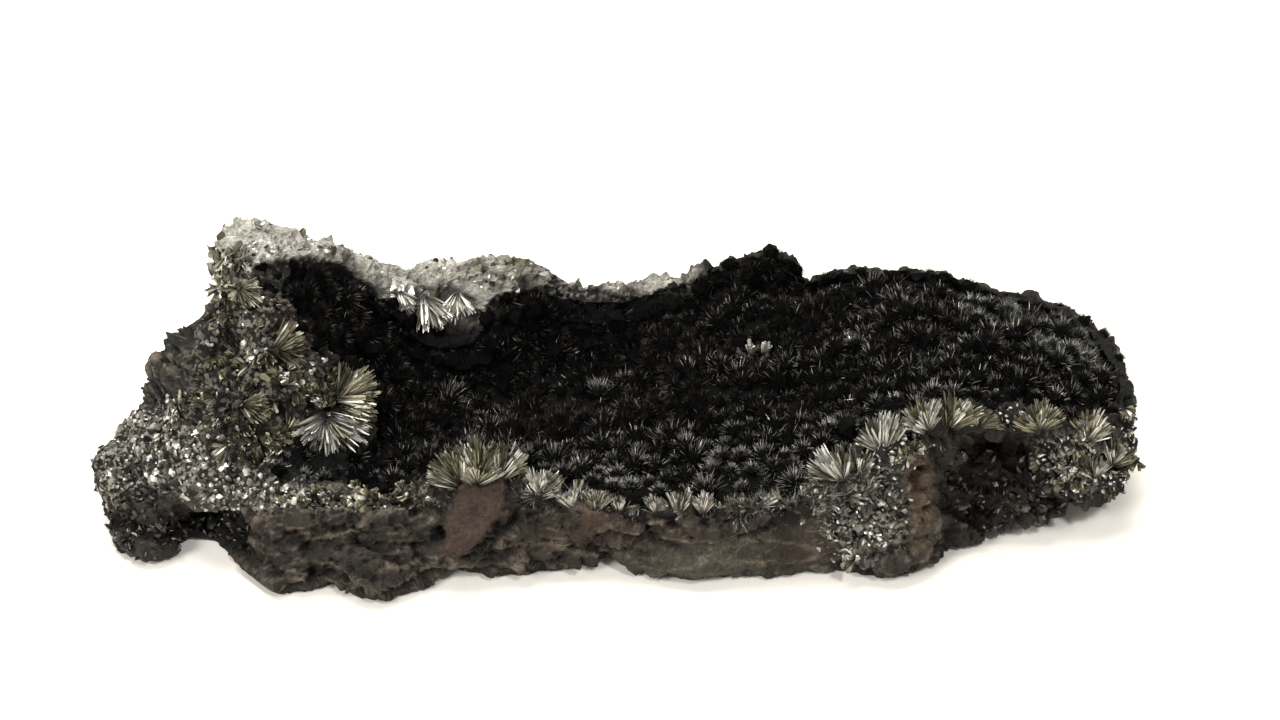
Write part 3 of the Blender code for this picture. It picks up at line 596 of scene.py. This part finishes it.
def add_fan(bm, root, face, length, heading, spread, gold, pitch, layers, chances, glow=WHOLE_GLOW):
    """Fills a fan with bundles of blades, layer over layer; each bundle is given painted light, a brightness
    within the glow's range.
    """
    root, face = Vector(root), Vector(face).normalized()
    right = (Vector((1, 0, 0)) - face * face.x).normalized()
    up = face.cross(right)
    bundles = max(2, round(spread / BUNDLE_PITCH))
    middles = [heading + spread * ((k + 0.5) / bundles - 0.5) + chances.normal(0, BUNDLE_PITCH * 0.16)
               for k in range(bundles)]
    reaches = [length * chances.uniform(0.68, 1.0) for _ in range(bundles)]
    glows = [chances.uniform(*glow) for _ in range(bundles)]
    for rise, share in layers:
        count = max(3, round(spread * (1 - rise / 200) / pitch))
        lifts = [rise + chances.normal(0, 6) for _ in range(bundles)]
        for k in range(count):
            pick = min(int(k * bundles / count), bundles - 1)
            turn = math.radians(middles[pick] + chances.normal(0, BUNDLE_PITCH * 0.34))
            lift = math.radians(lifts[pick] + chances.normal(0, 3))
            flat = right * math.cos(turn) + up * math.sin(turn)
            way = (flat * math.cos(lift) + face * math.sin(lift)).normalized()
            side = way.cross(face).normalized()
            roll = Matrix.Rotation(chances.normal(0, 0.5), 3, way)
            reach = reaches[pick] * share * chances.uniform(0.9, 1.04)
            width = length * math.radians(pitch) * chances.uniform(0.8, 1.6)
            start = root + side * chances.normal(0, length * 0.05) + face * chances.normal(0, length * 0.03)
            # painted light: the blade's brightness, from its bundle's glow
            shine = min(1.0, max(0.0, glows[pick] + chances.normal(0, 0.17)))
            thick = width * chances.uniform(0.2, 0.4)
            add_blade(bm, start, way, roll @ side, reach, width, thick, shine, gold)


def finish_blades(name, bm):
    """The blades as an object, not in the scene yet."""
    bmesh.ops.recalc_face_normals(bm, faces=bm.faces)
    mesh = mesh_of(bm, name)
    mesh.materials.append(blade_skin)
    return bpy.data.objects.new(name, mesh)


# Coarse pyrolusite: an opaque steel-grey oxide with a metallic lustre, split along its length into fine
# grooves.
# It glitters pale grey to straw yellow where a blade faces the light; painted shade darkens each blade
# towards its root, and painted light makes some bundles brighter than others.
blade_skin, tree = new_material("steel-grey pyrolusite blades")
chance_read = read(tree, "chance")
lath = node(tree, "ShaderNodeUVMap", uv_map="UVMap").outputs[0]
grooves_at = node(tree, "ShaderNodeMapping", {"Vector": lath, "Scale": (9.0, 0.5, 1.0)}).outputs[0]
grooves = noise_at(tree, grooves_at, 1.0, 3.0)          # about 0.1 mm apart
hue = mixed(tree, reckon(tree, "LESS_THAN", chance_read, read(tree, "gold")), linear("#c9c7c0"),
            linear("#a29d84"))
# painted shade and light: a blade is painted darker towards its root, and brighter or darker by the painted
# light stored in its chance
gain = reckon(tree, "MULTIPLY", mapped(tree, read(tree, "along"), 0.1, 0.6, 0.1, 1.0),
              mapped(tree, chance_read, least=0.16, greatest=1.1))
gain = reckon(tree, "MULTIPLY", gain, mapped(tree, grooves, 0.35, 0.65, 0.5, 1.15))
groove_bump = node(tree, "ShaderNodeBump", {"Height": grooves, "Strength": 0.7, "Distance": 0.06 * MM})
surface(tree, {"Base Color": scaled(tree, hue, gain), "Metallic": 0.85,
               "Roughness": mapped(tree, grooves, least=0.22, greatest=0.5),
               "Normal": groove_bump.outputs[0]})

chances = np.random.default_rng(7)
for name, fans in SPRAYS.items():
    bm = start_blades()
    for root, face, length, heading, spread, gold in fans:
        add_fan(bm, root, face, length, heading, spread, gold, BLADE_PITCH, BLADE_LAYERS, chances,
                SPRAY_GLOW.get(name, WHOLE_GLOW))
    spray = finish_blades(name.replace("_spray", "_blades"), bm)
    bpy.context.scene.collection.objects.link(spray)
    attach(spray, "root")
    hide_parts(name)


# The velvet lies in the hollow: pyrolusite again, but in needles a millimetre or two long, packed into
# rounded tufts three to five millimetres across. Light is lost between the needles; the tufts' black is
# painted shade, darkest at each needle's foot, and their bright tips are partly painted glints.
CRUST_VOXEL = 0.7 * MM
CRUST_SUNK = 1.5 * MM                   # the tufts stand on a bed that is this much lower than their tops
TUFT_RADIUS = 2.1 * MM
TUFT_GAP = 2.4 * MM                     # the least distance from one tuft's middle to the next
TUFT_KINDS = 6
TUFT_NEEDLES = 252
NEEDLE_POINTS = 4                       # three at its foot and one at its tip
# painted shade: a tuft's core is a dark ball, black like a needle's foot, standing for the tuft's shaded
# inside
HEART_POINTS = 12                       # a tuft's dark core, a ball of one subdivision
NEEDLE_HALF = 0.045 * MM                # the real needles are finer; thinner ones would vanish in the picture
VELVET_STRIPS = (-0.060, -0.013, 0.012, 0.036, 0.070)   # cut across at these, so no piece is too large

velvet_bed = solid_copy("velvet_crust", "velvet_bed", CRUST_VOXEL, 4)
bed_ways = points_of(velvet_bed.data, "normal")
upward = np.clip((bed_ways[:, 2] + 0.1) / 0.4, 0.0, 1.0)
bed_points = points_of(velvet_bed.data)
mounds = per_point(bed_points / MM, lambda p: 0.9 * noise.noise(p / 5.0) + 0.35 * noise.noise(p / 1.6)) * MM
bed_points = bed_points - bed_ways * (upward * (CRUST_SUNK - mounds))[:, None]
bed_points[:, 2] -= step_down(bed_points / MM) * MM
velvet_bed.data.vertices.foreach_set("co", bed_points.ravel())
velvet_bed.data.update()
keep_value(velvet_bed.data, "open", np.maximum(upward > 0.6, facing_view(bed_ways) > 0.05))


# Places with many needles given painted glints, as seen from the front: across, up, radius in mm, and the
# share.
PAINTED_GLINT_SPOTS = [(18.2, 1.4, 1.2, 0.9), (13.4, -1.8, 0.9, 0.55), (15.4, -1.0, 0.9, 0.6),
                (17.3, -0.7, 0.9, 0.6), (19.5, -0.5, 0.9, 0.6), (21.9, -0.8, 0.9, 0.55),
                (23.8, -1.6, 0.9, 0.5), (-2.2, -5.2, 0.8, 0.7), (1.4, -3.3, 0.8, 0.5), (3.7, -1.6, 0.7, 0.5),
                (-21.7, -5.2, 0.9, 0.5), (-19.7, -5.5, 0.9, 0.55), (-17.7, -6.8, 0.9, 0.55),
                (18.6, -12.4, 2.1, 0.45), (23.8, -11.7, 1.8, 0.4), (10.8, -13.3, 1.8, 0.35),
                (3.0, -12.4, 1.8, 0.3), (-17.8, -8.9, 1.3, 0.4), (37.5, -11.1, 1.6, 0.5),
                (34.2, -7.8, 1.6, 0.4), (-8.7, -13.3, 1.6, 0.35), (-3.5, -14.3, 1.8, 0.4),
                (27.7, -8.5, 1.8, 0.55), (31.6, 2.0, 1.8, 0.35), (-9.4, 7.8, 1.3, 0.3)]
# Grey-green tufts on the right shoulder: across, up, radius.
FROST_SPOTS = [(39.8, -0.7, 1.2), (46.9, 6.5, 1.4), (51.6, 5.6, 1.7), (56.6, 2.6, 2.0), (63.8, 1.0, 2.6),
               (61.3, 3.6, 1.7), (42.7, 11.7, 1.2), (54.4, 7.8, 1.3), (59.0, -0.3, 1.2), (65.5, -1.6, 1.6)]


def spot_share(points, spot_list):
    """The strongest share at each point of a list of round places given in the front view."""
    up = view_up(points)
    out = np.zeros(len(points))
    for across, height, radius, *share in spot_list:
        away = np.hypot(points[:, 0] - across, up - height) / radius
        out = np.maximum(out, np.clip(1.5 - away, 0.0, 1.0) * (share[0] if share else 1.0))
    return out


HOLLOW = ((-22.0, 4.0, 16.0), (20.0, 17.0, 9.0))


def keep_painted_glints(mesh, points):
    """Stores how many of a tuft's needles flash: few in the hollow, many to the front and on the right."""
    patches = per_point(points, lambda p: noise.noise(p / 6.5) + 0.6 * noise.noise(p / 2.6))
    share = 0.015 + 0.15 * np.clip(patches, 0.0, 1.0)
    share += 0.55 * ramp(points[:, 1], -4.0, -14.0) * np.clip(0.75 + patches, 0.25, 1.2)
    share += 0.1 * ramp(points[:, 0], 20.0, 50.0)
    share *= 1 - 0.6 * near(points, HOLLOW)
    keep_value(mesh, "silver", np.maximum(share, spot_share(points, PAINTED_GLINT_SPOTS)))
    along_row = 0.3 * ramp(points[:, 1], -11.5, -15.5) * ramp(points[:, 0], -16.0, -10.0)
    keep_value(mesh, "frost", np.maximum(spot_share(points, FROST_SPOTS), along_row))


keep_painted_glints(velvet_bed.data, bed_points / MM)
keep_painted_glints(ore.data, spots)


def add_needle(bm, foot, tip, thick, chance, gold=0.0, lit=1.0):
    """A thin three-sided needle, closed at its foot, as bright at its tip as lit says."""
    along, lot, hue = (bm.verts.layers.float[label] for label in ("along", "chance", "gold"))
    way = (tip - foot).normalized()
    side = way.orthogonal().normalized()
    side.rotate(Matrix.Rotation(chance * math.tau, 3, way))
    other = way.cross(side)
    corners = [bm.verts.new(foot + (side * math.cos(a) + other * math.sin(a) * 0.6) * thick)
               for a in (0.0, math.tau / 3, 2 * math.tau / 3)]
    point = bm.verts.new(tip)
    for vert, t in [(corner, 0.0) for corner in corners] + [(point, lit)]:
        vert[along], vert[lot], vert[hue] = t, chance, gold
    for i in range(3):
        bm.faces.new((corners[i], corners[(i + 1) % 3], point))
    bm.faces.new(corners[::-1])


FOOT_AT = 0.42                          # of a tuft's radius, where its needles start
HEART_AT = 0.64                         # of a tuft's radius, how far its core reaches


def tuft(name, chances):
    """A dome of needles that all point away from the tuft's middle."""
    bm = start_blades()
    golden_turn = math.pi * (3 - math.sqrt(5))
    for k in range(TUFT_NEEDLES):
        lift = 1 - 0.98 * (k + 0.5) / TUFT_NEEDLES
        ring = math.sqrt(max(0.0, 1 - lift * lift))
        way = Vector((ring * math.cos(golden_turn * k), ring * math.sin(golden_turn * k), lift))
        way = (way + Vector(chances.normal(0, 0.16, 3))).normalized()
        foot = way * TUFT_RADIUS * FOOT_AT
        tip = (way + Vector(chances.normal(0, 0.12, 3))) * TUFT_RADIUS * chances.uniform(0.82, 1.02)
        lit = 0.12 + 0.88 * max(0.0, way.z) ** 0.8      # the sides of a tuft lie in its neighbours' shade
        chance = chances.uniform()                      # the needles that flash first are also the stoutest
        thick = NEEDLE_HALF * (chances.uniform(0.85, 1.4) + 0.5 * chance ** 8)
        add_needle(bm, foot, tip, thick, chance, lit=lit)
    heart = bmesh.ops.create_icosphere(bm, subdivisions=1, radius=TUFT_RADIUS * HEART_AT)
    for vert in heart["verts"]:
        vert.co *= chances.uniform(0.85, 1.12)
    bmesh.ops.recalc_face_normals(bm, faces=bm.faces)
    return bpy.data.objects.new(name, mesh_of(bm, name))


def kinds_collection(name, objects):
    """A collection outside the scene, for a node tree to pick from."""
    kept = bpy.data.collections.new(name)
    for thing in objects:
        kept.objects.link(thing)
    return kept


def scatter_tree(name, kinds, skin):
    """A node tree that sets picks of the kinds on the faces that it is given, where a named value allows."""
    tree = bpy.data.node_groups.new(name, "GeometryNodeTree")
    tree.interface.new_socket("Stone", in_out="INPUT", socket_type="NodeSocketGeometry")
    for label, value in (("Gap", 0.002), ("Smallest", 0.8), ("Largest", 1.2), ("Lean", 0.3), ("Sunk", 0.0),
                         ("Upright", 0.0), ("From x", -1.0), ("To x", 1.0), ("Seed", 1)):
        kind = "NodeSocketInt" if label == "Seed" else "NodeSocketFloat"
        socket = tree.interface.new_socket(label, in_out="INPUT", socket_type=kind)
        socket.default_value = value
    tree.interface.new_socket("Pieces", in_out="OUTPUT", socket_type="NodeSocketGeometry")
    given = node(tree, "NodeGroupInput").outputs

    def by_chance(least, greatest, seed):
        """A random number for each point."""
        return node(tree, "FunctionNodeRandomValue", {2: least, 3: greatest, "Seed": seed}).outputs[1]

    def compare(first, second, operation):
        """Whether the first number is more or less than the second."""
        return node(tree, "FunctionNodeCompare", {0: first, 1: second}, operation=operation).outputs[0]

    allowed = node(tree, "GeometryNodeInputNamedAttribute", {"Name": name}, data_type="FLOAT").outputs[0]
    open_part = node(tree, "GeometryNodeDeleteGeometry",
                     {"Geometry": given["Stone"], "Selection": compare(allowed, 0.02, "LESS_THAN")},
                     domain="FACE")
    points = node(tree, "GeometryNodeDistributePointsOnFaces",
                  {"Mesh": open_part.outputs[0], "Distance Min": given["Gap"], "Density Max": 4.0e6,
                   "Density Factor": allowed, "Seed": given["Seed"]}, distribute_method="POISSON")
    position = node(tree, "GeometryNodeInputPosition").outputs[0]
    x = node(tree, "ShaderNodeSeparateXYZ", {0: position}).outputs[0]
    inside = node(tree, "FunctionNodeBooleanMath", {0: compare(x, given["From x"], "GREATER_EQUAL"),
                                                    1: compare(x, given["To x"], "LESS_THAN")})
    picked = node(tree, "GeometryNodeCollectionInfo", {"Collection": kinds, "Separate Children": True,
                                                       "Reset Children": True})
    size = by_chance(given["Smallest"], given["Largest"], given["Seed"])
    low_lean = reckon(tree, "MULTIPLY", given["Lean"], -1.0)
    leaning = node(tree, "ShaderNodeCombineXYZ", {0: by_chance(low_lean, given["Lean"], 11),
                                                  1: by_chance(low_lean, given["Lean"], 12),
                                                  2: by_chance(0.0, math.tau, 13)})
    own_turn = node(tree, "FunctionNodeEulerToRotation", {0: leaning.outputs[0]})
    raised = node(tree, "FunctionNodeAlignRotationToVector",
                  {"Rotation": points.outputs["Rotation"], "Factor": given["Upright"],
                   "Vector": (0.0, -0.15, 1.0)}, axis="Z")
    turn = node(tree, "FunctionNodeRotateRotation", {0: raised.outputs[0], 1: own_turn.outputs[0]},
                rotation_space="LOCAL")
    below = scaled(tree, points.outputs["Normal"], reckon(tree, "MULTIPLY", given["Sunk"], -1.0))
    lowered = node(tree, "GeometryNodeSetPosition", {"Geometry": points.outputs["Points"], "Offset": below})
    placed = node(tree, "GeometryNodeInstanceOnPoints",
                  {"Points": lowered.outputs[0], "Selection": inside.outputs[0], "Pick Instance": True,
                   "Instance": picked.outputs[0], "Rotation": turn.outputs[0], "Scale": size})
    real = node(tree, "GeometryNodeRealizeInstances", {"Geometry": placed.outputs[0]})
    skinned = node(tree, "GeometryNodeSetMaterial", {"Geometry": real.outputs[0], "Material": skin})
    node(tree, "NodeGroupOutput", {"Pieces": skinned.outputs[0]})
    return tree


def scattered(name, stone, area, kinds, skin, **values):
    """Kinds set on a copy of the stone in one of its areas, as a plain mesh that rides with the ore."""
    piece = in_scene(name, stone.data.copy())
    grown = piece.modifiers.new("grown", "NODES")
    grown.node_group = scatter_tree(area, kinds, skin)
    for socket in grown.node_group.interface.items_tree:
        key = socket.name.replace(" ", "_").lower()
        if socket.in_out == "INPUT" and key in values:
            grown[socket.identifier] = values[key]
    flatten(piece)
    piece.data.materials.clear()
    piece.data.materials.append(skin)
    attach(piece, "root")
    return piece


# Fine-needled pyrolusite: each needle is a steel-grey metal prism, but together they swallow light; that
# black is painted shade, darkest at each needle's foot and greying towards its tip. A few needles in each
# hundred get painted glints, more of them towards the front and the right.
velvet_skin, tree = new_material("velvet of fine pyrolusite needles")
along_read = read(tree, "along")
chance_read = read(tree, "chance")
# painted glints: a needle whose chance and glint share add to more than 1 is painted pale and less metallic
# towards its tip
flashes = reckon(tree, "GREATER_THAN", reckon(tree, "ADD", chance_read, read(tree, "silver")), 1.0)
tip_gain = mapped(tree, along_read, 0.15, 0.8)
grey_tip = mixed(tree, chance_read, linear("#252220"), linear("#5a5551"))
# painted shade: black at the needle's foot, fading to a grey tip
shaded_needle_colour = mixed(tree, tip_gain, linear("#030303"), grey_tip)
frost_tip = reckon(tree, "MULTIPLY", read(tree, "frost"), tip_gain)
shaded_needle_colour = mixed(tree, frost_tip, shaded_needle_colour, linear("#9da195"))
flashing = reckon(tree, "MULTIPLY", flashes, tip_gain)
glint_and_frost_tip = reckon(tree, "ADD", flashing, frost_tip)
surface(tree, {"Base Color": mixed(tree, flashing, shaded_needle_colour, linear("#d8d6d0")),
               "Metallic": mapped(tree, glint_and_frost_tip, least=0.9, greatest=0.3),
               "Roughness": mapped(tree, along_read, end=0.25, least=0.8, greatest=0.32)})

chances = np.random.default_rng(21)
tufts = kinds_collection("tuft kinds", [tuft(f"tuft_kind_{k}", chances) for k in range(TUFT_KINDS)])
CREST_WAY = np.array((0.0, 0.55, 0.83))     # up and back, where a tuft's edge catches the light from behind


def light_crests(piece):
    """Makes the needles flash oftener along each tuft's far upper edge, and seldomer elsewhere."""
    in_needles = NEEDLE_POINTS * TUFT_NEEDLES
    each = in_needles + HEART_POINTS
    points = points_of(piece.data).reshape(-1, each, 3)[:, :in_needles]
    points = points.reshape(-1, TUFT_NEEDLES, NEEDLE_POINTS, 3)
    aims = points[:, :, 3] - points[:, :, :3].mean(axis=2)
    aims /= np.linalg.norm(aims, axis=2)[:, :, None]
    crest = 0.55 + 1.6 * np.clip(aims @ CREST_WAY, 0.0, 1.0) ** 5
    layer = piece.data.attributes["silver"]
    share = np.empty(len(piece.data.vertices), np.float32)
    layer.data.foreach_get("value", share)
    share = share.reshape(-1, each)
    share[:, :in_needles] *= np.repeat(crest, NEEDLE_POINTS, axis=1)
    layer.data.foreach_set("value", share.ravel())


for k, (start, end) in enumerate(zip(VELVET_STRIPS, VELVET_STRIPS[1:])):
    strip = scattered(f"velvet_{k}", velvet_bed, "open", tufts, velvet_skin, gap=TUFT_GAP, smallest=0.66,
                      largest=1.42, lean=0.45, sunk=0.1 * TUFT_RADIUS, from_x=start, to_x=end, seed=5)
    light_crests(strip)
# painted shade: the bed has no needles of its own, so this material paints it black, as the shade between the
# tufts
velvet_bed.data.materials.clear()
velvet_bed.data.materials.append(velvet_skin)
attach(velvet_bed, "root")
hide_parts("velvet_crust")


# Three small fans of pyrolusite blades that stand alone in the velvet, grown between the tufts on the crust.
# Each: its root as seen from the front, across and up, its blades' length in mm, heading and spread.
LONE_FANS = [(17.8, 0.5, 2.7, 100, 50), (19.2, 0.7, 2.5, 72, 46), (16.8, 0.4, 1.9, 138, 16)]
FAN_LAYERS = [(20, 1.0), (40, 0.85)]
VIEW_RISE = Vector((0.0, 0.59, 0.81))       # the way up in the front view
bm = start_blades()
for across, up, length, heading, spread in LONE_FANS:
    eye = Vector(VIEW_MIDDLE) + Vector((across, 0.0, 0.0)) + VIEW_RISE * up + to_view * 90.0
    root = velvet_tree.ray_cast(eye, -to_view)[0]
    add_fan(bm, root - to_view * 0.4, to_view, length, heading, spread, 0.4, 7.0, FAN_LAYERS, chances,
            (0.4, 1.0))
velvet_fans = finish_blades("velvet_fans", bm)
bpy.context.scene.collection.objects.link(velvet_fans)
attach(velvet_fans, "root")


# The small stuff on the ore: bladed crystals lying in the broken wall and along its front, flat grains that
# make the left lobe glitter, and white plates in the pale rim. All of it grew on, or broke with, the ore.
SMALL_LAYERS = [(8, 1.0), (28, 0.85)]


def little_fan(name, length, spread, pitch, gold, chances, glow):
    """A small fan of blades that looks straight up from its root."""
    bm = start_blades()
    add_fan(bm, (0, 0, 0), (0, 0, 1), length, 90, spread, gold, pitch, SMALL_LAYERS, chances, glow)
    return finish_blades(name, bm)


def grain(name, size, flatness, chances, shine=None, lit=0.62):
    """A broken grain: a rough little block with flat sides."""
    bm = start_blades()
    along, lot, hue = (bm.verts.layers.float[label] for label in ("along", "chance", "gold"))
    bmesh.ops.create_icosphere(bm, subdivisions=1, radius=size / 2)
    chance = chances.uniform() if shine is None else shine
    for vert in bm.verts:
        vert.co *= chances.uniform(0.65, 1.2)
        vert.co.z *= flatness
        vert[along], vert[lot], vert[hue] = lit, chance, 0.1
    return bpy.data.objects.new(name, mesh_of(bm, name))


WHITE_SPOTS = [(-29.9, 8.6, 1.8), (-27.0, 8.0, 1.4), (-45.6, 15.2, 1.3), (-10.2, 12.4, 1.4),
               (58.0, -14.2, 0.9)]      # across, up and radius
seen = np.clip(facing_view(ways) * 3 + 0.6, 0.0, 1.0) * (ways[:, 2] > -0.3)
stone_left = bare * seen * (spots[:, 2] > 1.0)
in_wall = seen_inside(spots, WALL_OUTLINE) * (facing_view(ways) > 0.25) * (1 - near(spots, WALL_PIT))
in_wall *= 1 - 0.8 * near(spots, WALL_BROWN)
in_band = seen_inside(spots, BAND_OUTLINE)
in_rim = pale_and_top_lit * (1 - in_velvet) * (ways[:, 2] > -0.2)
grainy = near_any(spots, [BUTTRESS, BUTTRESS_TOP, RECESS_TOP, RIGHT_GRAINS, RIGHT_END])
ore_areas = {
    "wall_fans": in_wall * np.clip(0.75 + 1.6 * wander, 0.0, 1.0) * stone_left,
    "band_fans": in_band * np.clip(0.9 + 1.6 * wander, 0.0, 1.0) * stone_left,
    "front_fans": grainy * np.clip(0.3 + 1.8 * wander, 0.0, 1.0) * stone_left,
    "lobe_grains": np.maximum.reduce([lobe * (lobe > 0.4) * (1 - 0.9 * shadowed), 0.22 * in_wall,
                                      0.25 * near(spots, LOBE_TOE)]) * bare,
    "front_grains": np.maximum(grainy, 0.35 * in_band) * stone_left,
    "rim_plates": in_rim * np.clip(0.35 + 1.5 * wander, 0.05, 1.0),
    "rim_grains": in_rim * np.clip(0.2 - 1.8 * wander, 0.0, 0.8),
    "white_plates": spot_share(spots, WHITE_SPOTS) * (1 - in_velvet) * (facing_view(ways) > 0.1),
    "needle_row": seen_inside(spots, ROW_OUTLINE) * (facing_view(ways) > 0.0) * (ways[:, 2] > 0.0),
    "ore_velvet": in_velvet,
    "recess_grains": near_any(spots, [RECESS, LOBE_FOOT, LOBE_TOE]) * (1 - (lobe > 0.4)) * stone_left,
}
for label, area in ore_areas.items():
    keep_value(ore.data, label, area)


BROOM_NEEDLES = 34
BROOM_BLADES = 4


def broom(name, length, chances):
    """A loose tuft of long thin needles, and a few narrow blades, that stand up from one root."""
    bm = start_blades()
    for _ in range(BROOM_NEEDLES):
        way = Vector((chances.normal(0, 0.42), chances.normal(0, 0.42), 1.0)).normalized()
        reach = length * chances.uniform(0.5, 1.05)
        tip = (way + Vector(chances.normal(0, 0.06, 3))) * reach
        thick = chances.uniform(0.05, 0.10) * MM
        add_needle(bm, way * 0.15 * MM, tip, thick, chances.uniform(0.25, 1.0), 0.5)
    for _ in range(BROOM_BLADES):
        way = Vector((chances.normal(0, 0.3), chances.normal(0, 0.3), 1.0)).normalized()
        side = way.orthogonal().normalized()
        side.rotate(Matrix.Rotation(chances.uniform(0, math.tau), 3, way))
        reach = length / MM * chances.uniform(0.6, 1.0)
        width = chances.uniform(0.16, 0.34)
        add_blade(bm, Vector(), way, side, reach, width, 0.08, chances.uniform(0.1, 1.0), 0.5)
    return finish_blades(name, bm)


chances = np.random.default_rng(33)
fan_kinds = kinds_collection("little fans", [
    little_fan(f"little_fan_{k}", 2.0 + 0.25 * k, 80 + 20 * k, 9, 0.6, chances, (0.0, 0.25 + 0.18 * k))
    for k in range(4)])
plain_grains = kinds_collection("grains", [
    grain(f"grain_{k}", 1.2 * MM, 0.24, chances) for k in range(10)])
bright_grains = kinds_collection("bright grains", [
    grain(f"bright_grain_{k}", 1.1 * MM, 0.3, chances, 0.35 + 0.1 * k) for k in range(7)])
# painted shade: the grains for the recess and the lobe's foot are painted dark, lit at 0.2, for the shade
# there
dark_grains = kinds_collection("dark grains", [
    grain(f"dark_grain_{k}", 1.2 * MM, 0.5, chances, 0.04 * k, 0.2) for k in range(7)])
plate_kinds = kinds_collection("plates", [
    grain(f"plate_{k}", 2.2 * MM, 0.16, chances) for k in range(5)])
white_kinds = kinds_collection("white plates", [
    grain(f"white_plate_{k}", 2.2 * MM, 0.16, chances, 1.0) for k in range(6)])
broom_kinds = kinds_collection("brooms", [broom(f"broom_{k}", 2.9 * MM, chances) for k in range(5)])
# Each: its name, area and kinds, the gap in mm, the least and greatest size, lean, depth in mm, and seed.
grown_on_ore = [
    ("wall_crystals", "wall_fans", fan_kinds, 1.35, 0.45, 1.5, 0.5, 0.1, 3),
    ("band_crystals", "band_fans", fan_kinds, 1.0, 0.4, 1.0, 0.8, 0.1, 5),
    ("front_crystals", "front_fans", fan_kinds, 1.3, 0.4, 1.1, 0.7, 0.1, 4),
    ("lobe_grains", "lobe_grains", plain_grains, 0.6, 0.35, 1.15, 0.65, 0.0, 6),
    ("front_grains", "front_grains", bright_grains, 0.62, 0.3, 1.0, 1.1, 0.0, 7),
    ("recess_grains", "recess_grains", dark_grains, 0.7, 0.3, 1.5, 1.2, 0.0, 14),
    ("rim_plates", "rim_plates", plate_kinds, 1.9, 0.2, 0.8, 0.4, 0.0, 8),
    ("rim_grains", "rim_grains", plain_grains, 0.75, 0.3, 0.95, 0.9, 0.0, 15),
    ("white_plates", "white_plates", white_kinds, 0.7, 0.25, 0.95, 0.7, 0.1, 10),
]
for name, area, kinds, gap, least, greatest, lean, depth, seed in grown_on_ore:
    grown = scattered(name, ore, area, kinds, blade_skin, gap=gap * MM, smallest=least, largest=greatest,
                      lean=lean, sunk=depth * MM, seed=seed)
needle_row = scattered("needle_row", ore, "needle_row", broom_kinds, blade_skin, gap=0.77 * MM, smallest=0.35,
                       largest=1.05, lean=0.7, sunk=0.3 * MM, upright=0.6, seed=9)
edge_velvet = scattered("velvet_edge", ore, "ore_velvet", tufts, velvet_skin, gap=TUFT_GAP, smallest=0.55,
                        largest=0.95, lean=0.4, sunk=0.2 * TUFT_RADIUS, seed=12)
light_crests(edge_velvet)

for kept in (tufts, fan_kinds, plain_grains, bright_grains, dark_grains, plate_kinds, white_kinds,
             broom_kinds):
    for thing in list(kept.objects):
        bpy.data.objects.remove(thing)
    bpy.data.collections.remove(kept)


# The table that the specimen lies on, plain and off-white.
FLOOR_SIZE = 4.0
bm = bmesh.new()
bmesh.ops.create_grid(bm, x_segments=1, y_segments=1, size=FLOOR_SIZE / 2)
floor = in_scene("floor", mesh_of(bm, "floor"))
floor_skin, tree = new_material("off-white card")
surface(tree, {"Base Color": linear("#f3efe8"), "Roughness": 0.9})
floor.data.materials.append(floor_skin)


# Plain soft studio light: a large box above and a little behind, which whitens the rim, a weaker one from
# the front left, and a small one that wakes the flashes in the velvet.
def soft_box(name, spot, aim, size, power, colour):
    """A square lamp at a spot, turned to what it lights."""
    lamp = bpy.data.lights.new(name, "AREA")
    lamp.shape = "SQUARE"
    lamp.size = size
    lamp.energy = power
    lamp.color = linear(colour)[:3]
    box = in_scene(name, lamp)
    box.location = spot
    box.rotation_euler = (Vector(aim) - Vector(spot)).to_track_quat("-Z", "Y").to_euler()


MIDDLE = (0.0, 0.0, 0.015)
soft_box("overhead", (-0.10, 0.22, 0.62), MIDDLE, 0.50, 9.0, "#fffaf2")
soft_box("front left", (-0.45, -0.50, 0.45), MIDDLE, 0.30, 5.0, "#fffdf8")
soft_box("glint", (0.22, -0.40, 0.60), MIDDLE, 0.08, 2.2, "#ffffff")
world = bpy.data.worlds.new("studio")
bpy.context.scene.world = world
world.use_nodes = True
world.node_tree.nodes["Background"].inputs["Color"].default_value = linear("#f4f1ea")
world.node_tree.nodes["Background"].inputs["Strength"].default_value = 0.4

# The camera looks down at the front, at the photograph's angle and distance.
ELEVATION = math.radians(36.0)
DISTANCE = 0.420
AIM = Vector((3.0, 0.45, 19.0)) * MM
SENSOR = 36.0
PIXELS_PER_RADIAN = 7.68 * 420      # of a picture 1280 pixels wide
PICTURE_WIDTH = 1280
camera_data = bpy.data.cameras.new("camera")
camera_data.sensor_width = SENSOR
camera_data.lens = SENSOR * PIXELS_PER_RADIAN / PICTURE_WIDTH
camera_data.clip_start = 0.01
camera_data.clip_end = 10.0
camera = in_scene("camera", camera_data)
looking = Vector((0.0, math.cos(ELEVATION), -math.sin(ELEVATION)))
camera.location = AIM - looking * DISTANCE
camera.rotation_euler = looking.to_track_quat("-Z", "Y").to_euler()
bpy.context.scene.camera = camera
bpy.context.scene.view_settings.view_transform = "Standard"
